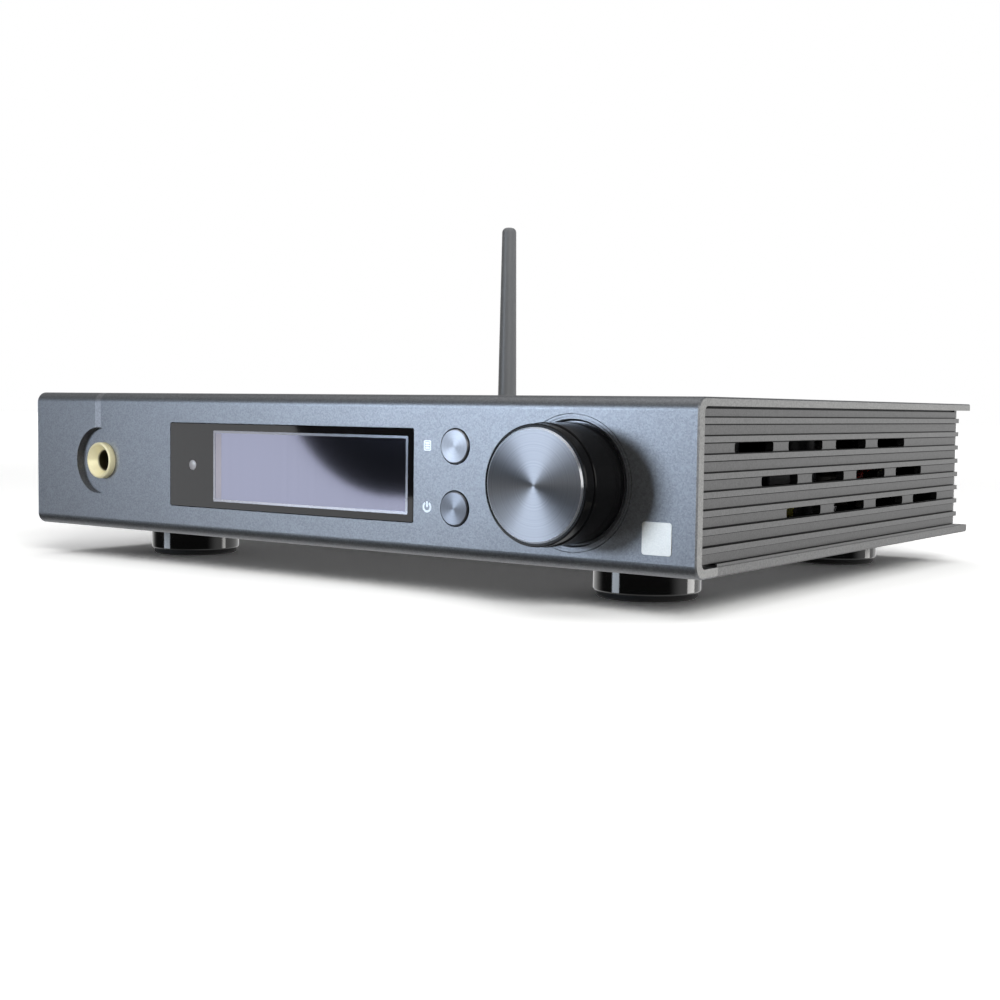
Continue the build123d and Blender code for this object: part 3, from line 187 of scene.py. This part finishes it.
def fin_painted_shade(s):
    """Painted shade on the side panels: darker floors between the fins, a near-black line along each fin's root and
    in the top shadow gap, and darker lower down.
    """
    across, height = s.math("ABSOLUTE", s.axis(s.place(), "X")), s.axis(s.place(), "Z")
    pitches = s.math("DIVIDE", s.math("SUBTRACT", height, TOP_FIN_Z), FIN_PITCH)
    from_fin = s.math("MULTIPLY", s.math("PINGPONG", pitches, 0.5), FIN_PITCH)
    # painted shade: a near-black line along each fin's root
    root = s.math("MULTIPLY", s.math("GREATER_THAN", from_fin, FIN_HALF - 0.04 * MM),
                  s.math("LESS_THAN", from_fin, FIN_HALF + ROOT_SHADE))
    sunk = s.math("LESS_THAN", across, FIN_TIP_X - 0.5 * MM)
    # painted shade on the sunk floors: the root lines, and a painted shadow in the top gap
    dark = s.math("MULTIPLY", sunk, s.math("MAXIMUM", root, s.math("GREATER_THAN", height, GAP_Z)))
    # painted shade: floors 20 percent darker, the lines and the gap 93 percent darker
    level = s.math("MULTIPLY", s.math("SUBTRACT", 1.0, s.math("MULTIPLY", sunk, 0.20)),
                   s.math("SUBTRACT", 1.0, s.math("MULTIPLY", dark, 0.93)))
    # painted shade: up to 22 percent darker towards the bottom
    return s.math("MULTIPLY", level, s.ramp(height, 12.0 * MM, 46.0 * MM, 0.78, 1.0))


def finned_metal(name, color, roughness):
    return extruded(name, color, roughness, "y", 0.10, fin_painted_shade)


def spun_metal(name, color, roughness, radius, rim=None, anisotropy=1.0):
    """A face turned on a lathe: rings round its centre and highlights that fan out from it. From the rim on,
    a share of the face's width, it has a painted highlight, a pale bluish white."""
    s = Surface(name, color, 1.0, roughness, Anisotropic=anisotropy, Anisotropic_Rotation=0.25)
    centred = s.vector("SUBTRACT", s.place("Generated"), (0.5, 0.5, 0.5))
    out = s.length(s.vector("MULTIPLY", centred, (1.0, 0.0, 1.0)))
    rings, coarse = (s.node("ShaderNodeTexNoise", props={"noise_dimensions": "1D"}, Detail=1.0, Scale=scale,
                            W=s.math("MULTIPLY", out, radius * 2)) for scale in (2600.0, 1100.0))
    face = s.tint(s.math("MULTIPLY", s.span(rings, 0.88, 1.12), s.span(coarse, 0.98, 1.02)))
    if rim:
        # painted highlight: a pale bluish white ring from the rim on
        face = s.mix(s.math("GREATER_THAN", out, rim), face, (0.95, 0.96, 1.0, 1.0))
    s.shade("Base Color", face)
    s.shade("Roughness", s.span(coarse, roughness - 0.01, roughness + 0.01))
    s.shade("Tangent", s.node("ShaderNodeTangent", props={"direction_type": "RADIAL", "axis": "Y"}))
    s.bump(rings, 2e-7)
    return s.material


def polished(name, color, metallic=0.0, roughness=0.08, **sockets):
    """Gloss plastic or plate: nearly even, with the faintest orange peel and wiped streaks."""
    s = Surface(name, color, metallic, roughness, **sockets)
    s.shade("Base Color", s.tint(s.span(s.noise(s.coords(), 60.0, 5.0), 0.9, 1.1)))
    s.shade("Roughness", s.span(s.noise(s.coords((1.0, 4.0, 1.0)), 90.0, 4.0), roughness * 0.8, roughness * 1.3))
    s.bump(s.noise(s.coords(), 500.0), 1.2e-6)
    return s.material


def moulded(name, color, roughness=0.45, grain=1800.0):
    """Moulded plastic or rubber with a fine spark-eroded texture."""
    s = Surface(name, color, 0.0, roughness)
    fine = s.noise(s.coords(), grain, 3.0)
    cloud = s.noise(s.coords(), 40.0, 4.0)
    s.shade("Base Color", s.tint(s.math("MULTIPLY", s.span(fine, 0.9, 1.1), s.span(cloud, 0.93, 1.07))))
    s.shade("Roughness", s.span(fine, roughness - 0.06, roughness + 0.06))
    s.bump(fine, 1.2e-5)
    return s.material


def mottled(name, color, metallic, roughness, scale, spread):
    """A smooth surface whose tone wanders a little."""
    s = Surface(name, color, metallic, roughness)
    s.shade("Base Color", s.tint(s.span(s.noise(s.coords(), scale), 1.0 - spread, 1.0 + spread)))
    return s.material


def solder_mask(name, color):
    """Solder mask over copper tracks."""
    s = Surface(name, color, 0.0, 0.35)
    tracks = s.node("ShaderNodeTexBrick", "Fac", Vector=s.coords(), Scale=160.0, _6=0.06)
    cloud = s.noise(s.coords(), 120.0, 3.0)
    s.shade("Base Color", s.tint(s.math("MULTIPLY", s.span(tracks, 0.9, 1.5), s.span(cloud, 0.9, 1.1))))
    s.bump(s.math("ADD", tracks, cloud), 2e-5)
    return s.material


def socket_gold(name, node, color, bore_radius):
    """Pale gold plate round a plug's bore, whose walls are painted near-black as shade."""
    s = Surface(name, color, 0.20, 0.34)
    low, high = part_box(node)
    middle = ((low[0] + high[0]) / 2, 0.0, (low[2] + high[2]) / 2)
    off_axis = s.length(s.vector("MULTIPLY", s.vector("SUBTRACT", s.place(), middle), (1.0, 0.0, 1.0)))
    # painted shade: near-black inside the bore, gold from just outside it
    clear_of_bore_shade = s.ramp(off_axis, bore_radius, bore_radius + 0.38 * MM, 0.0, 1.0)
    turned = s.span(s.noise(s.coords((1.0, 6.0, 1.0)), 900.0, 3.0), 0.93, 1.07)
    s.shade("Base Color", s.mix(clear_of_bore_shade, (0.03, 0.026, 0.012, 1.0), s.tint(turned)))
    s.bump(turned, 2e-6)
    return s.material


def taped_case(name, dark, yellow, tape_top):
    """A film capacitor: a dark case with yellow tape round it up to a height."""
    s = Surface(name, dark, 0.0, 0.40)
    creases = s.span(s.noise(s.coords((200.0, 200.0, 900.0)), 2.0, 3.0), 0.8, 1.2)
    taped = s.math("LESS_THAN", s.axis(s.place(), "Z"), tape_top)
    s.shade("Base Color", s.tint(creases, s.mix(taped, (*dark, 1.0), (*yellow, 1.0))))
    s.bump(creases, 2e-5)
    return s.material


def etched_metal(name, color):
    """The pale etched lines of the signs."""
    s = Surface(name, color, 0.8, 0.42)
    s.shade("Base Color", s.tint(s.span(s.cells(5000.0), 0.9, 1.1)))
    return s.material


def display_panel(name, color):
    """The display as it looks through its glass: smooth and mirror-like, with faint upright streaks."""
    s = Surface(name, color, 1.0, 0.06)
    s.shade("Base Color", s.tint(s.span(s.noise(s.coords((300.0, 1.0, 2.0)), 6.0, 3.0), 0.97, 1.03)))
    s.bump(s.noise(s.coords(), 200.0), 1e-7)
    return s.material


# ---------------------------------------------------------------- materials on the CAD nodes
def paint(material, *names):
    for name in names:
        nodes[name].data.materials.clear()
        nodes[name].data.materials.append(material)


paint(blasted_metal("cover_metal", (0.335, 0.345, 0.365), 0.40, edge_color=(0.36, 0.36, 0.355)),
      "wrap_cover", "knob_trim_ring")
paint(blasted_metal("base_metal", (0.24, 0.24, 0.242), 0.46, edge_color=(0.26, 0.26, 0.26)),
      "base_plate", "rear_panel")
paint(blasted_metal("strip_metal", (0.50, 0.51, 0.54), 0.34), "accent_strip")
# side panels: extruded metal with painted shade between, along and below the fins
paint(finned_metal("side_metal", (0.262, 0.262, 0.262), 0.44), "left_side_panel", "right_side_panel")
# the knob cap, with a painted highlight round its rim
paint(spun_metal("cap_metal", (0.31, 0.31, 0.325), 0.33, 14.5 * MM, rim=0.484), "knob_cap")
paint(spun_metal("button_metal", (0.54, 0.55, 0.58), 0.42, 5.7 * MM, anisotropy=0.75), "mode_button")
paint(spun_metal("power_metal", (0.36, 0.37, 0.40), 0.42, 5.7 * MM, anisotropy=0.8), "power_button")
paint(drawn_metal("steel", (0.55, 0.55, 0.56), 0.30),
      "pan_head_screws", "base_screws", "cover_studs", "knob_set_screw", "encoder_nut", "encoder_shaft",
      "front_bracket", "standoffs")
paint(drawn_metal("heat_sink", (0.40, 0.41, 0.42), 0.40, along="x"), "heatsinks")
paint(drawn_metal("shield_can", (0.60, 0.60, 0.61), 0.32, along="x"),
      "antenna_connector", "wireless_module", "usb_socket")

paint(polished("knob_black", (0.004, 0.004, 0.0045), roughness=0.16, Specular_IOR_Level=0.22), "knob_body")
paint(polished("foot_black", (0.006, 0.006, 0.006), roughness=0.09), "foot_shells")
paint(polished("window_black", (0.006, 0.006, 0.007), roughness=0.035), "display_window")
paint(polished("gloss_black", (0.012, 0.012, 0.013), roughness=0.22),
      "speaker_post_collars", "mains_rocker", "speaker_cap_2", "speaker_cap_4")
paint(polished("red_plastic", (0.42, 0.012, 0.010), roughness=0.22), "speaker_cap_1", "speaker_cap_3")
paint(polished("can_sleeve", (0.012, 0.012, 0.018), roughness=0.35, Specular_IOR_Level=0.3), "capacitors")
paint(polished("gold", (0.95, 0.86, 0.58), 1.0, 0.28),
      "line_sockets", "speaker_posts", "antenna_socket", "mains_inlet_pins")
paint(socket_gold("pale_gold", "headphone_bushing", (1.0, 0.93, 0.62), 3.22 * MM), "headphone_bushing")

paint(moulded("rubber", (0.022, 0.022, 0.022), 0.75), "foot_pads")
paint(moulded("black_plastic", (0.022, 0.022, 0.024), 0.42),
      "display_module", "ir_receiver", "headphone_jack", "encoder_body", "tact_switches", "line_socket_bodies",
      "optical_socket", "mains_inlet", "integrated_circuits")
paint(moulded("antenna_plastic", (0.19, 0.196, 0.205), 0.42, grain=2600.0), "antenna_knuckle", "antenna_sheath")
paint(moulded("white_plastic", (0.70, 0.70, 0.68), 0.4), "display_frame")
paint(moulded("dark_varnish", (0.035, 0.028, 0.018), 0.40), "power_transformer", "inductors")
paint(moulded("wire_red", (0.36, 0.03, 0.025), 0.42), "mains_wiring", "speaker_wiring")
paint(moulded("wire_grey", (0.35, 0.35, 0.36), 0.5), "ribbon_cable")
paint(solder_mask("solder_mask", (0.012, 0.07, 0.040)),
      "front_board", "power_supply_board", "amplifier_board", "main_board")
paint(taped_case("film_case", (0.022, 0.024, 0.030), (0.66, 0.58, 0.05), 28.5 * MM), "suppression_capacitor")


# ---------------------------------------------------------------- thin pieces on the surfaces
def rounded_outline(width, height, radius, steps=8):
    """Points round a rectangle with rounded corners, centred on 0, in X and Z."""
    points = []
    for cx, cz, start in ((1, 1, 0), (-1, 1, 90), (-1, -1, 180), (1, -1, 270)):
        for i in range(steps + 1):
            a = math.radians(start + 90 * i / steps)
            points.append((cx * (width / 2 - radius) + radius * math.cos(a),
                           cz * (height / 2 - radius) + radius * math.sin(a)))
    return points


def finish_piece(name, bm, material, bevel=0.0):
    """Turns the mesh into a piece that rides on the case."""
    bmesh.ops.recalc_face_normals(bm, faces=bm.faces)
    mesh = bpy.data.meshes.new(name)
    bm.to_mesh(mesh)
    bm.free()
    mesh.materials.append(material)
    piece = bpy.data.objects.new(name, mesh)
    bpy.context.scene.collection.objects.link(piece)
    if bevel:
        modifier = piece.modifiers.new("edge", "BEVEL")
        modifier.width = bevel
        modifier.segments = 2
        modifier.angle_limit = math.radians(50)
    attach(piece, "case")
    return piece


def plate(name, outline, centre, thickness, material, hole=None, bevel=0.0):
    """A flat piece on the front: its outline in X and Z, its back at centre's y, its face that much further out."""
    bm = bmesh.new()
    loops = [[[bm.verts.new((centre[0] + x, centre[1] - out, centre[2] + z)) for x, z in points]
              for out in (0.0, thickness)] for points in [outline] + ([hole] if hole else [])]
    around = [(i, (i + 1) % len(outline)) for i in range(len(outline))]
    for back, face in loops:
        for i, j in around:
            bm.faces.new((back[i], back[j], face[j], face[i]))
    for level in (0, 1):
        if hole:
            outer, inner = loops[0][level], loops[1][level]
            for i, j in around:
                bm.faces.new((outer[i], outer[j], inner[j], inner[i]))
        else:
            bm.faces.new(loops[0][level])
    return finish_piece(name, bm, material, bevel)


def middle_of(node):
    low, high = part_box(node)
    return [(low[i] + high[i]) / 2 for i in range(3)]


# display, laid on the window's face: a lavender panel, a pale line round it, and an unlit margin at its left
BORDER, MARGIN_W, CORNER = 0.75 * MM, 2.6 * MM, 0.2 * MM
LINE_T, PANEL_T, MARGIN_T = 0.10 * MM, 0.025 * MM, 0.008 * MM
frame_lo, frame_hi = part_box("display_frame")
screen_x, _, screen_z = middle_of("display_frame")
screen = (screen_x, WINDOW_FACE, screen_z)
screen_w, screen_h = frame_hi[0] - frame_lo[0], frame_hi[2] - frame_lo[2]
lit_outline = rounded_outline(screen_w - 2 * BORDER, screen_h - 2 * BORDER, CORNER)
plate("display_line", rounded_outline(screen_w, screen_h, 2 * CORNER), screen, LINE_T,
      mottled("display_border", (0.34, 0.345, 0.38), 1.0, 0.16, 400.0, 0.08), hole=lit_outline)
plate("display_area", lit_outline, screen, PANEL_T,
      display_panel("display_panel", (0.25, 0.26, 0.345)))
plate("display_margin", rounded_outline(MARGIN_W, screen_h - 2.4 * BORDER, CORNER),
      (screen[0] - screen_w / 2 + BORDER + MARGIN_W / 2 + 0.15 * MM, screen[1] - PANEL_T, screen[2]), MARGIN_T,
      mottled("display_margin", (0.29, 0.28, 0.32), 1.0, 0.12, 300.0, 0.05))

# the receiver's domed lens
LENS_R, LENS_RISE, RINGS, TURNS = 1.6 * MM, 0.25 * MM, 8, 32
lens_x, _, lens_z = middle_of("ir_receiver")
lens_at = Vector((lens_x, WINDOW_FACE, lens_z))
lens = bmesh.new()
tip = lens.verts.new(lens_at - Vector((0, LENS_RISE, 0)))
previous = None
for ring in range(1, RINGS + 1):
    r = LENS_R * ring / RINGS
    rise = LENS_RISE * (1 - (ring / RINGS) ** 2)
    loop = [lens.verts.new(lens_at + Vector((r * math.cos(2 * math.pi * t / TURNS), -rise,
                                             r * math.sin(2 * math.pi * t / TURNS)))) for t in range(TURNS)]
    for t in range(TURNS):
        u = (t + 1) % TURNS
        if previous is None:
            lens.faces.new((tip, loop[t], loop[u]))
        else:
            lens.faces.new((previous[t], loop[t], loop[u], previous[u]))
    previous = loop
lens.faces.new(previous)
finish_piece("receiver_lens", lens, polished("receiver_lens", (0.46, 0.46, 0.50), roughness=0.25)).data.shade_smooth()

# a blank metal badge at the lower right of the front
plate("blank_badge", rounded_outline(8.5 * MM, 8.3 * MM, 0.8 * MM), (117.4 * MM, FRONT, 20.2 * MM), 0.15 * MM,
      blasted_metal("badge_metal", (0.95, 0.91, 0.83), 0.34, grain=3200.0, depth=3e-6, tint=0.04),
      bevel=0.05 * MM)

# generic signs at the two buttons: a menu sign and a power sign
SIGN_X, SIGN_T, BAR_STEP = 44.4 * MM, 0.02 * MM, 0.68 * MM
RING_R, RING_W, RING_START, RING_END, RING_STEPS = 1.25 * MM, 0.65 * MM, 122, 418, 40
sign_metal = etched_metal("etched_sign", (0.92, 0.94, 0.97))
mode_z, power_z = middle_of("mode_button")[2], middle_of("power_button")[2]
plate("menu_sign_frame", rounded_outline(2.6 * MM, 2.9 * MM, 0.45 * MM), (SIGN_X, FRONT, mode_z), SIGN_T,
      sign_metal, hole=rounded_outline(1.9 * MM, 2.2 * MM, 0.2 * MM))
for row in (-1, 0, 1):
    plate(f"menu_sign_bar_{row + 2}", rounded_outline(1.6 * MM, 0.54 * MM, 0.12 * MM),
          (SIGN_X, FRONT, mode_z + row * BAR_STEP), SIGN_T, sign_metal)

ring_mesh = bmesh.new()
for out in (0.0, SIGN_T):
    inner, outer = [[ring_mesh.verts.new((SIGN_X + r * math.cos(a), FRONT - out, power_z + r * math.sin(a)))
                     for a in (math.radians(RING_START + (RING_END - RING_START) * i / RING_STEPS)
                               for i in range(RING_STEPS + 1))]
                    for r in (RING_R - RING_W / 2, RING_R + RING_W / 2)]
    for i in range(RING_STEPS):
        ring_mesh.faces.new((inner[i], inner[i + 1], outer[i + 1], outer[i]))
finish_piece("power_sign_ring", ring_mesh, sign_metal)
plate("power_sign_bar", rounded_outline(0.65 * MM, 1.7 * MM, 0.25 * MM), (SIGN_X, FRONT, power_z + 0.75 * MM),
      SIGN_T, sign_metal)

# ---------------------------------------------------------------- camera
CAMERA_AT = Vector((0.2963, -0.41355, 0.0520))
YAW, PITCH, ROLL = math.radians(-35.92), math.radians(-3.61), math.radians(0.73)
LENS, SENSOR = 52.34, 36.0
scene = bpy.context.scene
forward = Vector((math.sin(YAW) * math.cos(PITCH), math.cos(YAW) * math.cos(PITCH), math.sin(PITCH)))
level_right = Vector((math.cos(YAW), -math.sin(YAW), 0.0))
level_up = level_right.cross(forward)
right = level_right * math.cos(ROLL) + level_up * math.sin(ROLL)
up = level_up * math.cos(ROLL) - level_right * math.sin(ROLL)
camera_data = bpy.data.cameras.new("camera")
camera_data.lens = LENS
camera_data.sensor_width = SENSOR
camera_data.clip_start = 0.01
camera = bpy.data.objects.new("camera", camera_data)
scene.collection.objects.link(camera)
camera.matrix_world = Matrix((
    (right.x, up.x, -forward.x, CAMERA_AT.x),
    (right.y, up.y, -forward.y, CAMERA_AT.y),
    (right.z, up.z, -forward.z, CAMERA_AT.z),
    (0.0, 0.0, 0.0, 1.0),
))
scene.camera = camera
scene.view_settings.view_transform = "Standard"

# ---------------------------------------------------------------- lamps
CENTRE = Vector((0.0, 0.0, 0.03))


def area_lamp(name, width, height, radiance, at, color=(1.0, 1.0, 1.0)):
    """A rectangular lamp. Radiance is what a mirror would show of it."""
    data = bpy.data.lights.new(name, "AREA")
    data.shape = "RECTANGLE"
    data.size, data.size_y = width, height
    data.energy = radiance * math.pi * width * height
    data.color = color
    lamp = bpy.data.objects.new(name, data)
    lamp.location = at
    lamp.visible_camera = False
    scene.collection.objects.link(lamp)
    return lamp


def soft_box(name, azimuth, distance, width, height, bottom, radiance, color, mirrored=True):
    """An upright lamp round the object, facing it. It is seen either only in gloss or only by matt surfaces."""
    a = math.radians(azimuth)
    at = CENTRE + Vector((distance * math.cos(a), distance * math.sin(a), bottom + height / 2))
    lamp = area_lamp(name, width, height, radiance, at, color)
    aim = Vector((CENTRE.x - at.x, CENTRE.y - at.y, 0.0))
    lamp.rotation_euler = aim.to_track_quat("-Z", "Y").to_euler()
    lamp.visible_diffuse = not mirrored
    lamp.visible_glossy = mirrored


soft_box("key_box", -119.2, 1.35, 0.40, 0.25, 0.04, 13.6, (0.70, 0.825, 1.0))
soft_box("key_glint", -125.0, 1.35, 0.42, 0.11, -0.24, 8.5, (0.80, 0.89, 1.0))
soft_box("rear_glint", 40.0, 1.35, 0.44, 0.13, -0.27, 7.0, (1.0, 0.99, 0.97))
soft_box("mirror_card", -131.3, 1.30, 0.35, 0.12, -0.115, 1.45, (0.97, 0.98, 1.0))
soft_box("fill_box", -32.0, 1.00, 0.50, 0.40, 0.0, 1.8, (1.0, 1.0, 0.97))
soft_box("front_fill", -40.0, 1.20, 0.80, 0.60, 0.42, 8.5, (1.0, 1.0, 0.98), mirrored=False)
area_lamp("top_box", 2.4, 2.4, 0.98, (0.0, 0.0, 1.7)).visible_glossy = False

# ---------------------------------------------------------------- world
# White to the camera. Metal and glass see white behind, a dim shoulder and a ceiling above, and a darker wall in
# front and below. Matt surfaces get a low even light.
AMBIENT = 0.16
SHOULDER, ZENITH, FRONT_WALL, FRONT_CELLAR, CELLAR = 0.14, 0.75, 0.05, 0.04, 0.55
world = bpy.data.worlds.new("studio")
scene.world = world
world.use_nodes = True
world.node_tree.nodes.clear()
sky = Nodes(world.node_tree)
rays = sky.tree.nodes.new("ShaderNodeLightPath").outputs
depth, height = (sky.axis(sky.place("Generated"), name) for name in "YZ")
horizon = sky.ramp(depth, -0.25, 0.35, FRONT_WALL, 1.0, smooth=True)
upward = sky.ramp(height, 0.08, 0.50, 0.0, 1.0, smooth=True)
ceiling = sky.ramp(height, 0.60, 0.98, SHOULDER, ZENITH, smooth=True)
downward = sky.ramp(height, -0.05, -0.50, 0.0, 1.0, smooth=True)
cellar = sky.ramp(depth, -0.30, 0.20, FRONT_CELLAR, CELLAR, smooth=True)
mirrored_sky = sky.lerp(downward, sky.lerp(upward, horizon, ceiling), cellar)
reflective = sky.math("ADD", rays["Is Glossy Ray"], rays["Is Transmission Ray"], clamp=True)
matt = sky.math("SUBTRACT", 1.0, sky.math("ADD", rays["Is Camera Ray"], reflective, clamp=True))
shown = sky.math("ADD", rays["Is Camera Ray"], sky.math("MULTIPLY", reflective, mirrored_sky))
strength = sky.math("ADD", shown, sky.math("MULTIPLY", matt, AMBIENT))
background = sky.node("ShaderNodeBackground", Color=(1.0, 1.0, 1.0, 1.0), Strength=strength)
world_out = sky.tree.nodes.new("ShaderNodeOutputWorld")
sky.set(world_out, "Surface", background)

# ---------------------------------------------------------------- floor
# Pale and matt. To the camera it is paler still, and it gives a little of its own light far from the object.
FLOOR_HALF, FLOOR_TONE, FLOOR_SHOWN = 6.0, 0.82, 1.50
GLOW_NEAR, GLOW_FAR, GLOW = 0.35, 2.2, 0.95
floor_mesh = bpy.data.meshes.new("floor")
floor_mesh.from_pydata([(x * FLOOR_HALF, y * FLOOR_HALF, 0) for x, y in ((-1, -1), (1, -1), (1, 1), (-1, 1))],
                       [], [(0, 1, 2, 3)])
floor = bpy.data.objects.new("floor", floor_mesh)
scene.collection.objects.link(floor)
floor.visible_glossy = False
pale = Surface("floor", (FLOOR_TONE,) * 3, 0.0, 1.0, Specular_IOR_Level=0.0)
rays = pale.tree.nodes.new("ShaderNodeLightPath").outputs
seen = pale.math("MAXIMUM", rays["Is Camera Ray"],
                 pale.math("MAXIMUM", rays["Is Glossy Ray"], rays["Is Transmission Ray"]))
glow = pale.ramp(pale.length(pale.place()), GLOW_NEAR, GLOW_FAR, 0.0, GLOW, smooth=True)
pale.shade("Emission Color", (1.0, 1.0, 1.0, 1.0))
pale.shade("Emission Strength", pale.math("MULTIPLY", seen, glow))
pale.shade("Base Color", pale.mix(rays["Is Camera Ray"], (*(FLOOR_TONE,) * 3, 1.0), (*(FLOOR_SHOWN,) * 3, 1.0)))
floor_mesh.materials.append(pale.material)

# a round black card in front of the key lamp: its mirror image is the dark curve on the display
CARD_CENTRE, CARD_R, CARD_TOP, CARD_END, CARD_STEPS = Vector((-0.3930, -0.600, 0.1039)), 0.1172, 0.045, -0.17, 48
dip = math.acos((CARD_CENTRE.z - CARD_TOP) / CARD_R)
card_points = [CARD_CENTRE + Vector((CARD_R * math.sin(a), 0.0, -CARD_R * math.cos(a)))
               for a in (-dip + dip * i / CARD_STEPS for i in range(CARD_STEPS + 1))]
card_points += [Vector((CARD_END, CARD_CENTRE.y, z)) for z in (card_points[-1].z, CARD_TOP)]
card_mesh = bpy.data.meshes.new("black_card")
card_mesh.from_pydata([tuple(point) for point in card_points], [], [tuple(range(len(card_points)))])
card_mesh.materials.append(Surface("black_card", (0.004, 0.004, 0.004), 0.0, 0.9).material)
card = bpy.data.objects.new("black_card", card_mesh)
scene.collection.objects.link(card)
for ray in ("camera", "diffuse", "shadow", "transmission"):
    setattr(card, f"visible_{ray}", False)
